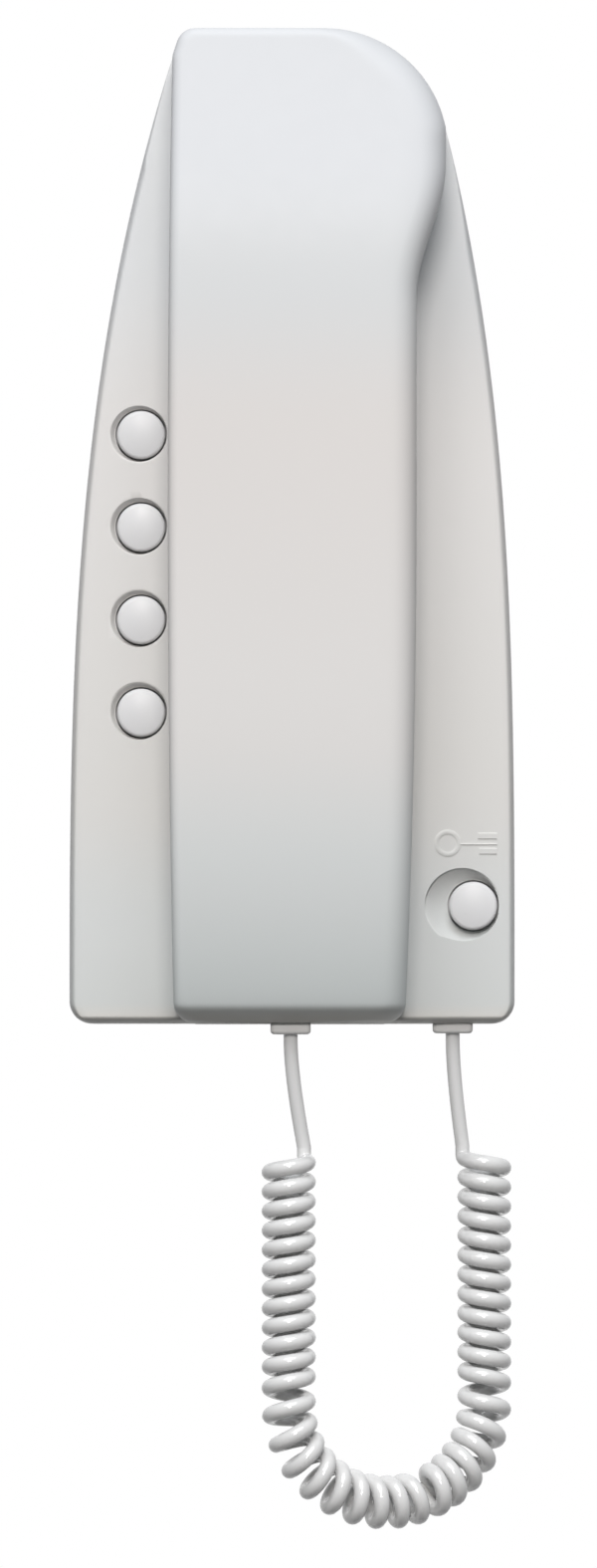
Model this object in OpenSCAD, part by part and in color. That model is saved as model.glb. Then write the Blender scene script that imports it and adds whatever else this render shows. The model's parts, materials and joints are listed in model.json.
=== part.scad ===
// Wall intercom station: a tapered base with a full-height handset resting on it,
// four call buttons on the left, a door button on the right and a curly cord below.
// Millimetres. X is to the right, Y is towards the wall, Z is up.
// Depths are measured outwards from the wall, which is the plane Y = 0.
// Heights are measured from the lower edge of the base; the last lines move everything down
// so that the origin is on the wall, midway between the two wall screws.

/* [Base] */
// Height of the base
body_h = 210; // [205:1:220]
// Width of the base at its lower edge
body_w = 94.2; // [92:0.1:100]
// How far the left edge draws in towards the top
left_sweep = 23.7; // [22:0.1:25]
// How far the right edge draws in towards the top
right_sweep = 20.6; // [20:0.1:22.5]
// Radius of the two lower corners
bottom_r = 4.8; // [3:0.1:8]
// Radius of the upper left corner
top_left_r = 4.2; // [3:0.1:8]
// Radius of the upper right corner
top_right_r = 26; // [20:0.5:28]
// Wall thickness of the base
wall = 2.2; // [1.6:0.1:2.6]
// Depth of the side wings where they are fullest
wing_depth = 27; // [26.5:0.5:29]
// How much the wings fall away towards the ends
wing_crown = 5; // [2:0.5:6]
// Depth of the flat cradle that the handset rests on
cradle_depth = 32.6; // [32:0.1:36]

/* [Handset] */
// Depth of the handset's front, measured from the wall
hand_depth = 60; // [57:0.5:68]
// Gap between the handset and the cradle
seat_gap = 0.4; // [0.3:0.1:0.8]
// Wall thickness of the handset
hand_wall = 2.2; // [1.6:0.1:2.6]
// Thickness of the handset's inner cover
cover_t = 2.2; // [1.8:0.1:2.6]
// Half width of the grip to the left of the centre line
grip_left = 26.1; // [25:0.1:26.3]
// Half width of the grip to the right of the centre line
grip_right = 26.2; // [25:0.1:28]
// How far the ear end is wider than the grip, on the right
ear_bulge = 6.2; // [4:0.1:7]
// Radius of the left front edge
hand_left_round = 2.2; // [1:0.1:4]
// Radius of the right front edge
hand_right_round = 5; // [2:0.1:7]
// Slope of the ear end's front, as rise over run
hand_top_tilt = 0.22; // [0.1:0.01:0.3]
// Depth of the mouth end's front, measured from the wall
tail_depth = 48.8; // [48:0.1:54]

/* [Ear and mouth cups] */
// Radius of the ear cup where it leaves the cover
ear_r = 21.5; // [19:0.1:22]
// Distance of the ear cup's centre from the top of the base
ear_in = 32; // [30:1:34]
// Radius of the mouth cup where it leaves the cover
mouth_r = 17; // [15:0.1:18]
// Height of the mouth cup's centre
mouth_z = 28; // [27:1:32]
// How far the cups stand out of the cover
cup_depth = 9; // [7:0.5:10]
// How much a cup narrows over its depth
cup_taper = 5; // [4.5:0.1:6]
// Clearance around a cup in its pocket
pocket_gap = 0.8; // [0.5:0.1:1.2]

/* [Buttons] */
// Distance of the call buttons' middle line from the base's left edge
call_in = 15.2; // [14.5:0.1:15.3]
// Height of the lowest call button
call_z = 65.8; // [62:0.1:70]
// Spacing of the call buttons
call_pitch = 19.55; // [17:0.05:20]
// Distance of the door button's middle from the base's right edge
door_in = 8.8; // [8.5:0.1:10]
// Height of the door button
door_z = 25; // [24:0.1:34]
// Radius of a button cap
cap_r = 5.1; // [4.5:0.1:5.2]
// Clearance around a button cap
cap_gap = 0.35; // [0.2:0.05:0.5]
// Travel of a button
button_travel = 1.2; // [0.6:0.1:1.4]

/* [Wall fixing] */
// Spacing of the two wall screws, one above the other
screw_spacing = 60; // [50:1:62]
// Radius of a wall screw hole
screw_hole_r = 2.25; // [1.8:0.05:3]
// Thickness of the wall plate
plate_t = 2.5; // [2:0.1:3]
// Width of the cable entry
entry_w = 22; // [14:1:26]
// Height of the cable entry
entry_h = 24; // [14:1:30]

/* [Cord] */
// Diameter of the cord where it is curled
curl_d = 3.4; // [3:0.1:3.45]
// Diameter of the straight ends of the cord
lead_d = 2.8; // [2:0.1:3.2]
// Outside diameter of the curls
curl_od = 11.5; // [11:0.1:13]

/* [Hidden] */
$fn = 48;

// Small amount by which a cut runs past the surface it cuts
past = 1;
// Clearance between two rigid pieces that are pushed together
fit = 0.15;
// Clearance between two pieces that move past one another
slack = 0.3;
// Clearance of a screw in the hole that it cuts its thread in
thread_fit = 0.03;
// Clearance of a screw in a piece that it only passes through
screw_gap = 0.2;
// Height of the origin, midway between the wall screws
origin_z = body_h / 2;
// The base's left and right ends at its lower edge
left_end = -body_w / 2;
right_end = body_w / 2;

// Outline of the base, as left and right edges at a height, moved inwards by a distance
left_power = 3;
right_power = 3.3;
function left_line(z) = left_end + left_sweep * pow(max(0, z) / body_h, left_power);
function right_line(z) = right_end - right_sweep * pow(max(0, z) / body_h, right_power);
top_left_z = body_h - top_left_r;
top_right_z = body_h - top_right_r;
function lean(sweep, power, z) = atan(power * sweep / body_h * pow(z / body_h, power - 1));
top_left_lean = lean(left_sweep, left_power, top_left_z + 0.3 * top_left_r);
top_right_lean = lean(right_sweep, right_power, top_right_z + 0.26 * top_right_r);
top_left_meet = top_left_z + top_left_r * sin(top_left_lean);
top_right_meet = top_right_z + top_right_r * sin(top_right_lean);
top_left_x = left_line(top_left_meet) + top_left_r * cos(top_left_lean);
top_right_x = right_line(top_right_meet) - top_right_r * cos(top_right_lean);
function arc(r, h) = sqrt(max(0, r * r - h * h));
function body_left(z, by = 0) =
    z < bottom_r ? left_line(bottom_r) + bottom_r - arc(bottom_r - by, bottom_r - z) :
    z > top_left_meet ? top_left_x - arc(top_left_r - by, z - top_left_z) :
    left_line(z) + by;
function body_right(z, by = 0) =
    z < bottom_r ? right_line(bottom_r) - bottom_r + arc(bottom_r - by, bottom_r - z) :
    z > top_right_meet ? top_right_x + arc(top_right_r - by, z - top_right_z) :
    right_line(z) - by;

// Heights at which the outlines are worked out, closer together at the rounded ends
mid_rows = 22;
function corner_rows(from, r) = [for (a = [0 : 18 : 90]) from + r * (1 - cos(a))];
function rows(from, r, top) = concat(
    corner_rows(from, r),
    [for (k = [1 : mid_rows]) from + r + (top_right_meet - from - r) * k / mid_rows],
    [for (k = [1 : 8]) top_right_z + (top - top_right_z)
        * sin(top_right_lean + (90 - top_right_lean) * k / 8)]
);
function body_rows(by = 0) = rows(by, bottom_r - by, body_h - by);
function backwards(list) = [for (k = [len(list) - 1 : -1 : 0]) list[k]];
function body_outline(by = 0) = concat(
    [for (z = backwards(body_rows(by))) [body_left(z, by), z]],
    [for (z = body_rows(by)) [body_right(z, by), z]]
);

// Outline of the handset, which follows the base at the ear end
hand_edge = 0.2;
hand_bottom = 0.4;
hand_top = body_h - hand_edge;
hand_corner_r = 4.5;
grip_mid = 110;
grip_left_bow = 1.25;
grip_right_bow = 2.4;
bulge_from = 153;
bulge_len = 28;
function smooth(t) = let (u = min(1, max(0, t))) u * u * (3 - 2 * u);
function grip_left_line(z) = -grip_left + grip_left_bow * pow((z - grip_mid) / grip_mid, 2);
function grip_right_line(z) = grip_right
    - grip_right_bow * pow(max(0, 1 - z / grip_mid), 2)
    + ear_bulge * smooth((z - bulge_from) / bulge_len);
hand_corner_z = hand_bottom + hand_corner_r;
function hand_left(z, by = 0) = z < hand_corner_z
    ? grip_left_line(hand_corner_z) + hand_corner_r - arc(hand_corner_r - by, hand_corner_z - z)
    : max(body_left(z, hand_edge + by), grip_left_line(z) + by);
function hand_right(z, by = 0) = z < hand_corner_z
    ? grip_right_line(hand_corner_z) - hand_corner_r + arc(hand_corner_r - by, hand_corner_z - z)
    : min(body_right(z, hand_edge + by), grip_right_line(z) - by);
function hand_rows(by = 0) = rows(hand_bottom + by, hand_corner_r - by, hand_top - by);
function hand_outline(by = 0) = concat(
    [for (z = backwards(hand_rows(by))) [hand_left(z, by), z]],
    [for (z = hand_rows(by)) [hand_right(z, by), z]]
);

// Depth of the wings at a height
wing_mid = 100;
function wing(z) = wing_depth - wing_crown * pow((z - wing_mid) / wing_mid, 2);
function wing_profile(by, from, to) = concat(
    [[by > 0 ? -2 * past : 0, from]],
    [for (k = [0 : 20]) let (z = from + (to - from) * k / 20) [wing(z) - by, z]],
    [[by > 0 ? -2 * past : 0, to]]
);

// Depth of the handset's front at a height
tail_from = 80;
tail_drop = hand_depth - tail_depth;
tilt_from = 165;
tilt_blend = 18;
tail_bevel = 3;
tail_bevel_h = 5;
crown_edge = 1;
function ramp(u, w) = (u + sqrt(u * u + w * w)) / 2;
function hand_front(z) = hand_depth
    - hand_top_tilt * ramp(z - tilt_from, tilt_blend)
    - tail_drop * pow(max(0, tail_from - z) / tail_from, 3)
    - tail_bevel_h * max(0, 1 - (z - hand_bottom) / tail_bevel)
    - crown_edge * max(0, 1 - (hand_top - z) / crown_edge);
hand_rim = cradle_depth + seat_gap;

function unit(v) = v / norm(v);

// A solid lofted through loops of points, all with the same number of points
module loft(loops) {
    n = len(loops[0]);
    last = len(loops) - 1;
    polyhedron(
        points = [for (loop = loops) for (p = loop) p],
        faces = concat(
            [for (i = [0 : last - 1]) for (j = [0 : n - 1])
                [i * n + j, i * n + (j + 1) % n, (i + 1) * n + (j + 1) % n]],
            [for (i = [0 : last - 1]) for (j = [0 : n - 1])
                [i * n + j, (i + 1) * n + (j + 1) % n, (i + 1) * n + j]],
            [for (j = [1 : n - 2]) [0, j + 1, j]],
            [for (j = [1 : n - 2]) [last * n, last * n + j, last * n + j + 1]]
        )
    );
}

// A solid with a front-view outline, between two depths
module front(from, to) {
    translate([0, -from, 0]) rotate([90, 0, 0]) linear_extrude(to - from) children();
}

// A solid with a side-view outline of depth and height, as wide as stated
module side(width, x = 0) {
    translate([x, 0, 0]) rotate([90, 0, -90]) linear_extrude(width, center = true) children();
}

// A round solid that points outwards from the wall, between two depths
module stud(x, z, from, to, r, r_to = 0) {
    translate([x, -from, z]) rotate([90, 0, 0])
        cylinder(h = to - from, r1 = r, r2 = r_to > 0 ? r_to : r);
}

// A block between two corners, given as across, depth and height
module block(low, high) {
    translate([low[0], -high[1], low[2]])
        cube([high[0] - low[0], high[1] - low[1], high[2] - low[2]]);
}

// Places inside the base
board_back = 10;
board_t = 1.6;
board_front = board_back + board_t;
board_gap = 0.8;
board_low = 4;
board_above = 37;
board_high = origin_z + board_above;
board_left = body_left(board_high, wall) + board_gap;
board_right = body_right(board_high, wall) - board_gap;
board_foot_z = 52;
board_foot_step = 6;
board_foot_right = body_right(board_foot_z, wall) - board_gap;
board_screw_in = 4;
board_screw_down = 10;
board_screw_left = 20;
board_screw_up = 18;
board_screw_mid = [24, 24];
board_screw_top = board_high - board_screw_down;
board_screw_places = [
    [board_left + board_screw_left, board_screw_top],
    [board_right - 2 * board_screw_in, board_screw_top],
    [board_left + board_screw_in, board_low + board_screw_up],
    board_screw_mid
];
board_screw_r = 1.25;
board_screw_len = 6;
board_head_r = 2.6;
board_head_h = 1.8;
standoff_r = 3;
call_x = left_end + call_in;
door_x = right_end - door_in;
call_places = [for (k = [0 : 3]) [call_x, call_z + k * call_pitch]];
door_place = [door_x, door_z];
button_places = concat(call_places, [door_place]);
screw_places = [[0, origin_z - screw_spacing / 2], [0, origin_z + screw_spacing / 2]];
screw_access_r = 5;
entry_low = origin_z - entry_h / 2;

// The door button's dish is wider than the button and set off towards the left
dish_shift = 2.3;
dish_r = 7.8;
dish_rim = 0.5;
dish_depth = 3.6;
door_guide = 1.4;
// The call buttons sit in shallow dishes set off towards the upper left
call_dish_shift = [-0.5, 0.3];
call_dish_r = 6;
call_dish_depth = 1.6;
hole_r = cap_r + cap_gap;
sleeve_wall = 1.4;
sleeve_len = 2.5;
// How far each kind of guide reaches behind the wing's front
call_guide = wall + sleeve_len;
door_reach = dish_depth + door_guide;
flange_t = 1.5;
flange_over = 1.1;
stem_r = 2;
switch_h = 3.5;
switch_w = 6;
cap_proud = 0.9;

// The cord sockets and plugs
plug_w = 7.8;
plug_t = 5.4;
plug_len = 12;
plug_fit = 0.1;
collar_w = 8.5;
collar_t = 6.2;
collar_h = 2;
collar_in = 1;
collar_r = 1;
socket_wall = 1.2;
socket_top = 2;
base_plug_in = 13.1;
base_plug_x = right_end - base_plug_in;
base_plug_depth = board_front + socket_wall + plug_t / 2;
hand_plug_x = -0.3;
hand_plug_depth = hand_rim + fit + cover_t + socket_wall + plug_t / 2;

// The hook lever swings on a pin under the cradle
hook_x = 14;
hook_w = 7;
hook_above = 20;
hook_pivot_z = origin_z + hook_above;
hook_pivot_depth = 24;
hook_arm_t = 4;
hook_reach = 14;
hook_nose_h = 8;
hook_nose_low = hook_pivot_z + hook_reach;
hook_nose_high = hook_nose_low + hook_nose_h;
hook_nose_edge = 1;
hook_nose_slope = 2;
hook_tail_len = 4;
hook_tail_z = hook_pivot_z - hook_tail_len;
hook_pin_r = 1.25;
hook_pin_fit = 0.01;
hook_run_gap = 0.05;
hook_ear_t = 3;
hook_ear_gap = 0.4;
hook_slot_below = 4.5;
hook_slot_above = 1.5;
hook_slot_low = hook_nose_low - hook_slot_below;
hook_slot_high = hook_nose_high + hook_slot_above;

// Where the cups sit
ear_z = body_h - ear_in;
ear_x = (hand_left(ear_z) + hand_right(ear_z)) / 2;
mouth_x = (hand_left(mouth_z) + hand_right(mouth_z)) / 2;
cover_back = hand_rim + fit;
cover_front = cover_back + cover_t;
cup_end = cover_back - cup_depth;
cup_wall = 1.8;
pocket_floor = cup_end - pocket_gap;

// The wings sweep up to the cradle in a hollow curve on either side of the handset
cove_left_w = 5;
cove_right_w = 11.5;
cove_left_rise = 0.7;
cove_right_rise = 3;
cove_left_top = 196;
cove_right_top = 182;
cove_fade = 25;
module cove(sign, reach, rise, to) {
    inside = 1;
    under = 1.2;
    dip = 0.15;
    steps = 6;
    most = 0.85;
    function straight(z) = max(z, hand_corner_z);
    function edge(z) = sign < 0 ? hand_left(straight(z)) : hand_right(straight(z));
    function room(z) = sign < 0 ? edge(z) - body_left(straight(z)) : body_right(straight(z)) - edge(z);
    function height(z) = (rise + under / 2) * smooth((to - z) / cove_fade) - under / 2;
    function hollow(z) =
        let (x = edge(z), w = min(reach, most * room(z)), up = height(z))
        concat(
            [[x - sign * inside, wing(z) - under], [x - sign * inside, wing(z) + up]],
            [for (k = [0 : steps]) let (t = k / steps)
                [x + sign * w * t, wing(z) + up * pow(1 - t, 2) - (k == steps ? dip : 0)]],
            [[x + sign * w, wing(z) - under]]
        );
    function turned(loop) = sign < 0 ? loop : backwards(loop);
    heights = concat([-past], [for (z = body_rows()) if (z > 0 && z < to - 1) z], [to]);
    loft([for (z = heights) [for (p = turned(hollow(z))) [p[0], -p[1], z]]]);
}

// The whole base before it is hollowed: the cradle has the handset's outline, carried down
// past the base's lower edge, and everything is cut off at the base's own outline
module base_solid() {
    intersection() {
        union() {
            side(2 * body_w) polygon(wing_profile(0, -past, body_h + past));
            front(0, cradle_depth) polygon(hand_outline());
            block([hand_left(hand_bottom), 0, -past], [hand_right(hand_bottom), cradle_depth, hand_corner_r]);
            cove(-1, cove_left_w, cove_left_rise, cove_left_top);
            cove(1, cove_right_w, cove_right_rise, cove_right_top);
        }
        front(-past / 2, cradle_depth + past) polygon(body_outline());
    }
}

// The space inside the base
module base_space() {
    intersection() {
        front(-2 * past, wing_depth + past) polygon(body_outline(wall));
        side(2 * body_w) polygon(wing_profile(wall, 0, body_h));
    }
    front(-2 * past, cradle_depth - wall) polygon(hand_outline(wall));
}

// A cone around a cup, for the pockets: it follows the cup's taper at a distance
module cup_cone(x, z, r, by, from) {
    stud(x, z, from, cover_back, r - cup_taper * (cover_back - from) / cup_depth + by, r + by);
}

// A pocket's wall, and the pocket itself
module pocket_wall(x, z, r) {
    intersection() {
        cup_cone(x, z, r, pocket_gap + wall, pocket_floor - wall);
        front(0, cradle_depth - wall / 2) polygon(hand_outline(wall / 2));
    }
}
module pocket(x, z, r) {
    cup_cone(x, z, r, pocket_gap, pocket_floor);
}

// Guides for the buttons behind the wings: a sleeve for each call button,
// and for the door button the pad behind its dish
function guide_end(place, guide) = wing(place[1]) - guide;
module button_sleeve(place) {
    stud(place[0], place[1], guide_end(place, call_guide), wing(place[1]) - wall / 2, hole_r + sleeve_wall);
}
module door_pad() {
    stud(door_x - dish_shift, door_z, guide_end(door_place, door_reach), wing(door_z) - wall / 2,
        dish_r + dish_rim);
}

// The dish around a button, which narrows from its rim to the button's hole
module dish(place, shift, rim_r, depth) {
    thin = 0.02;
    above = 0.3;
    face = wing(place[1]);
    hull() {
        translate([place[0], -(face - depth), place[1]]) rotate([90, 0, 0])
            cylinder(h = thin, r = hole_r + 0.1, $fn = 32);
        translate([place[0] + shift[0], -(face + above), place[1] + shift[1]]) rotate([90, 0, 0])
            cylinder(h = thin, r = rim_r, $fn = 32);
    }
}

// Two ears under the cradle that carry the hook lever's pin
hook_ear_half = 4;
hook_ear_back = 3.5;
hook_ear_out = hook_w / 2 + hook_ear_gap + hook_ear_t / 2;
module hook_ears() {
    for (x = [hook_x - hook_ear_out, hook_x + hook_ear_out])
        block(
            [x - hook_ear_t / 2, hook_pivot_depth - hook_ear_back, hook_pivot_z - hook_ear_half],
            [x + hook_ear_t / 2, cradle_depth - wall / 2, hook_pivot_z + hook_ear_half]
        );
}
// A bore right through the hook lever and its ears
module hook_bore(r) {
    translate([hook_x - 2 * hook_w, -hook_pivot_depth, hook_pivot_z]) rotate([0, 90, 0])
        cylinder(h = 4 * hook_w, r = r);
}

// One screw from below holds the housing to a boss on the wall plate
housing_screw_in = 17.1;
housing_screw_x = left_end + housing_screw_in;
housing_screw_depth = 6.2;
housing_screw_r = 1.4;
housing_head_r = 2.6;
housing_head_h = 1.6;
housing_head_gap = 0.2;
housing_seat = 2;
housing_pad_top = 4.2;
housing_boss_w = 8;
housing_boss_top = 12;
housing_boss_front = board_back - 0.3;
module upright(from, to, r) {
    translate([housing_screw_x, -housing_screw_depth, from]) cylinder(h = to - from, r = r);
}
module housing_pad() {
    block([housing_screw_x - housing_boss_w / 2, plate_t + fit, wall / 2],
        [housing_screw_x + housing_boss_w / 2, housing_boss_front, housing_pad_top]);
}

module front_housing() {
    color("gainsboro") difference() {
        union() {
            difference() {
                base_solid();
                base_space();
            }
            pocket_wall(ear_x, ear_z, ear_r);
            pocket_wall(mouth_x, mouth_z, mouth_r);
            for (place = call_places) button_sleeve(place);
            door_pad();
            hook_ears();
            housing_pad();
        }
        pocket(ear_x, ear_z, ear_r);
        pocket(mouth_x, mouth_z, mouth_r);
        for (place = button_places) stud(place[0], place[1], board_front, hand_rim, hole_r);
        for (place = call_places) dish(place, call_dish_shift, call_dish_r, call_dish_depth);
        dish(door_place, [-dish_shift, 0], dish_r, dish_depth);
        block([hook_x - hook_w / 2 - hook_ear_gap, cradle_depth - wall - past, hook_slot_low],
            [hook_x + hook_w / 2 + hook_ear_gap, cradle_depth + past, hook_slot_high]);
        hook_bore(hook_pin_r + hook_pin_fit);
        block([base_plug_x - collar_w / 2 - fit, base_plug_depth - collar_t / 2 - fit, -past],
            [base_plug_x + collar_w / 2 + fit, base_plug_depth + collar_t / 2 + fit, wall + past]);
        upright(-past, housing_pad_top + past, housing_screw_r + screw_gap);
        upright(-past, housing_seat, housing_head_r + housing_head_gap);
    }
}

module wall_plate() {
    color("silver") difference() {
        union() {
            front(0, plate_t) polygon(body_outline(wall + fit));
            for (place = board_screw_places)
                stud(place[0], place[1], plate_t / 2, board_back, standoff_r);
            block([housing_screw_x - housing_boss_w / 2, plate_t / 2, housing_pad_top],
                [housing_screw_x + housing_boss_w / 2, housing_boss_front, housing_boss_top]);
        }
        for (place = screw_places) stud(place[0], place[1], -past, plate_t + past, screw_hole_r);
        for (place = board_screw_places)
            stud(place[0], place[1], plate_t, board_back + past, board_screw_r + thread_fit);
        block([-entry_w / 2, -past, entry_low], [entry_w / 2, plate_t + past, entry_low + entry_h]);
        upright(0, housing_boss_top + past, housing_screw_r + thread_fit);
    }
}

module circuit_board() {
    color("darkgreen") difference() {
        front(board_back, board_front) polygon([
            [board_left, board_low], [board_foot_right, board_low], [board_foot_right, board_foot_z],
            [board_right, board_foot_z + board_foot_step], [board_right, board_high], [board_left, board_high]
        ]);
        for (place = board_screw_places)
            stud(place[0], place[1], board_back - past, board_front + past, board_screw_r + screw_gap);
        for (place = screw_places)
            stud(place[0], place[1], board_back - past, board_front + past, screw_access_r);
        block([-entry_w / 2, board_back - past, entry_low],
            [entry_w / 2, board_front + past, entry_low + entry_h]);
    }
}

// A pan-headed screw that points back towards the wall, with a cross slot
module screw_in(x, z, seat, reach, r, head_r, head_h) {
    half_slot = head_r * 0.15;
    reach_out = head_r * 0.6;
    floor_at = seat + head_h * 0.4;
    top = seat + head_h + past;
    difference() {
        union() {
            stud(x, z, seat - reach, seat, r);
            stud(x, z, seat, seat + head_h, head_r, head_r * 0.8);
        }
        block([x - reach_out, floor_at, z - half_slot], [x + reach_out, top, z + half_slot]);
        block([x - half_slot, floor_at, z - reach_out], [x + half_slot, top, z + reach_out]);
    }
}

module board_screws() {
    color("lightgray")
        for (place = board_screw_places)
            screw_in(place[0], place[1], board_front, board_screw_len,
                board_screw_r, board_head_r, board_head_h);
}

terminal_count = 6;
terminal_pitch = 5;
terminal_h = 9;
terminal_z = entry_low - terminal_h;
terminal_depth = 9.5;
terminal_x = 2;
terminal_front = board_front + terminal_depth;
terminal_screw_up = 5.2;
terminal_screw_z = terminal_z + terminal_screw_up;
terminal_screw_r = 1.6;
terminal_screw_floor = 4;
terminal_screw_from = board_front + terminal_screw_floor;
terminal_recess = 1;
terminal_screw_to = terminal_front - terminal_recess;
terminal_slot_w = 0.5;
terminal_slot_half = 1.3;
terminal_slot_depth = 0.8;
terminal_wire_half = 1.4;
terminal_wire_h = 7;
terminal_floor = 1.2;
terminal_roof = 0.2;
function terminal_at(k) = terminal_x + (k - (terminal_count - 1) / 2) * terminal_pitch;
module terminal_block() {
    half = terminal_count * terminal_pitch / 2;
    color("seagreen") difference() {
        block([terminal_x - half, board_front, terminal_z],
            [terminal_x + half, terminal_front, terminal_z + terminal_h]);
        for (k = [0 : terminal_count - 1]) {
            x = terminal_at(k);
            stud(x, terminal_screw_z, terminal_screw_from, terminal_front + past,
                terminal_screw_r + thread_fit);
            block([x - terminal_wire_half, board_front + terminal_floor, terminal_z - past],
                [x + terminal_wire_half, terminal_screw_from - terminal_roof, terminal_z + terminal_wire_h]);
        }
    }
}
module terminal_screws() {
    half_slot = terminal_slot_w / 2;
    slot_floor = terminal_screw_to - terminal_slot_depth;
    color("lightgray")
        for (k = [0 : terminal_count - 1]) {
            x = terminal_at(k);
            difference() {
                stud(x, terminal_screw_z, terminal_screw_from, terminal_screw_to, terminal_screw_r);
                block([x - terminal_slot_half, slot_floor, terminal_screw_z - half_slot],
                    [x + terminal_slot_half, terminal_screw_to + past, terminal_screw_z + half_slot]);
            }
        }
}

// A jack that takes a cord plug from below
module socket(x, depth, low, seat_from) {
    half_w = plug_w / 2 + plug_fit;
    half_t = plug_t / 2 + plug_fit;
    difference() {
        block([x - plug_w / 2 - socket_wall, seat_from, low],
            [x + plug_w / 2 + socket_wall, depth + plug_t / 2 + socket_wall, low + plug_len + socket_top]);
        block([x - half_w, depth - half_t, low - past], [x + half_w, depth + half_t, low + plug_len]);
    }
}
socket_low = wall;
module cord_socket() {
    color("dimgray") socket(base_plug_x, base_plug_depth, socket_low, board_front);
}
hand_socket_low = hand_bottom + hand_wall;
module handset_socket() {
    color("dimgray") socket(hand_plug_x, hand_plug_depth, hand_socket_low, cover_front);
}

// A cord plug: its body goes up into the jack, and its collar shows below the casing
module plug(x, depth, low, top) {
    block([x - plug_w / 2, depth - plug_t / 2, low], [x + plug_w / 2, depth + plug_t / 2, top]);
    difference() {
        block([x - collar_w / 2, depth - collar_t / 2, low - collar_h],
            [x + collar_w / 2, depth + collar_t / 2, low + collar_in]);
        for (sign = [-1, 1])
            translate([x + sign * collar_w / 2, -depth, low - collar_h]) rotate([90, 0, 0])
                difference() {
                    cube([2 * collar_r, 2 * collar_r, 2 * collar_t], center = true);
                    translate([-sign * collar_r, collar_r, 0])
                        cylinder(h = 3 * collar_t, r = collar_r, center = true);
                }
    }
}
module base_plug() {
    color("whitesmoke") plug(base_plug_x, base_plug_depth, 0, socket_low + plug_len);
}
module handset_plug() {
    color("whitesmoke") plug(hand_plug_x, hand_plug_depth, 0, hand_socket_low + plug_len);
}

module button_switches() {
    color("black")
        for (place = button_places)
            block([place[0] - switch_w / 2, board_front, place[1] - switch_w / 2],
                [place[0] + switch_w / 2, board_front + switch_h, place[1] + switch_w / 2]);
}

sounder_x = -12;
sounder_z = 60;
sounder_r = 11;
sounder_hole_r = 1.5;
sounder_hole_depth = 2;
sounder_h = 7;
sounder_front = board_front + sounder_h;
module sounder() {
    color("black") difference() {
        stud(sounder_x, sounder_z, board_front, sounder_front, sounder_r);
        stud(sounder_x, sounder_z, sounder_front - sounder_hole_depth, sounder_front + past, sounder_hole_r);
    }
}

// The hook switch sits under the hook lever, with its plunger just clear of the arm
hook_switch_above = 9;
hook_switch_z = hook_pivot_z + hook_switch_above;
hook_switch_h = 6.5;
hook_switch_w = 6;
hook_switch_len = 10;
hook_plunger_above = 2;
hook_plunger_z = hook_switch_z + hook_plunger_above;
hook_plunger_r = 1.2;
hook_plunger_root = 1;
module hook_switch() {
    top = board_front + hook_switch_h;
    color("black") {
        block([hook_x - hook_switch_w / 2, board_front, hook_switch_z - hook_switch_len / 2],
            [hook_x + hook_switch_w / 2, top, hook_switch_z + hook_switch_len / 2]);
        stud(hook_x, hook_plunger_z, top - hook_plunger_root,
            hook_pivot_depth - hook_arm_t / 2 - slack, hook_plunger_r);
    }
}

module housing_screw() {
    length = 9;
    half_slot = 0.4;
    reach_out = housing_head_r * 0.6;
    head_low = housing_seat - housing_head_h;
    slot_top = housing_seat - housing_head_h / 2;
    color("lightgray") difference() {
        union() {
            upright(housing_seat, housing_seat + length, housing_screw_r);
            upright(head_low, housing_seat, housing_head_r);
        }
        block([housing_screw_x - reach_out, housing_screw_depth - half_slot, head_low - past],
            [housing_screw_x + reach_out, housing_screw_depth + half_slot, slot_top]);
        block([housing_screw_x - half_slot, housing_screw_depth - reach_out, head_low - past],
            [housing_screw_x + half_slot, housing_screw_depth + reach_out, slot_top]);
    }
}

module hook_pin() {
    half = hook_w / 2 + hook_ear_gap + hook_ear_t;
    color("lightgray") translate([hook_x - half, -hook_pivot_depth, hook_pivot_z]) rotate([0, 90, 0])
        cylinder(h = 2 * half, r = hook_pin_r);
}

hook_nose_end = cover_back - slack;
module hook_lever() {
    arm_back = hook_pivot_depth - hook_arm_t / 2;
    arm_front = hook_pivot_depth + hook_arm_t / 2;
    color("whitesmoke") difference() {
        side(hook_w, hook_x) polygon([
            [arm_back, hook_tail_z], [arm_front, hook_tail_z], [arm_front, hook_nose_low],
            [hook_nose_end - hook_nose_edge, hook_nose_low],
            [hook_nose_end, hook_nose_low + hook_nose_slope],
            [hook_nose_end, hook_nose_high - hook_nose_slope],
            [hook_nose_end - hook_nose_edge, hook_nose_high],
            [arm_back, hook_nose_high]
        ]);
        hook_bore(hook_pin_r + hook_run_gap);
    }
}

// A button: domed cap, flange behind the guide and stem down to the switch
module button(place, guide) {
    face = wing(place[1]) + cap_proud;
    flange_front = guide_end(place, guide) - slack;
    flange_back = flange_front - flange_t;
    flange_r = hole_r + flange_over;
    stem_end = board_front + switch_h + button_travel + slack;
    edge = 0.9;
    dome = 0.3;
    profile = concat(
        [[0, stem_end], [stem_r, stem_end], [stem_r, flange_back]],
        [[flange_r, flange_back], [flange_r, flange_front], [cap_r, flange_front]],
        [for (a = [0 : 18 : 90]) [cap_r - edge * (1 - cos(a)), face - dome - edge * (1 - sin(a))]],
        [[0, face]]
    );
    color("whitesmoke") translate([place[0], 0, place[1]]) rotate([90, 0, 0])
        rotate_extrude() polygon(profile);
}
module call_button_1() { button(call_places[0], call_guide); }
module call_button_2() { button(call_places[1], call_guide); }
module call_button_3() { button(call_places[2], call_guide); }
module call_button_4() { button(call_places[3], call_guide); }
module door_button() { button(door_place, door_reach); }

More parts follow.
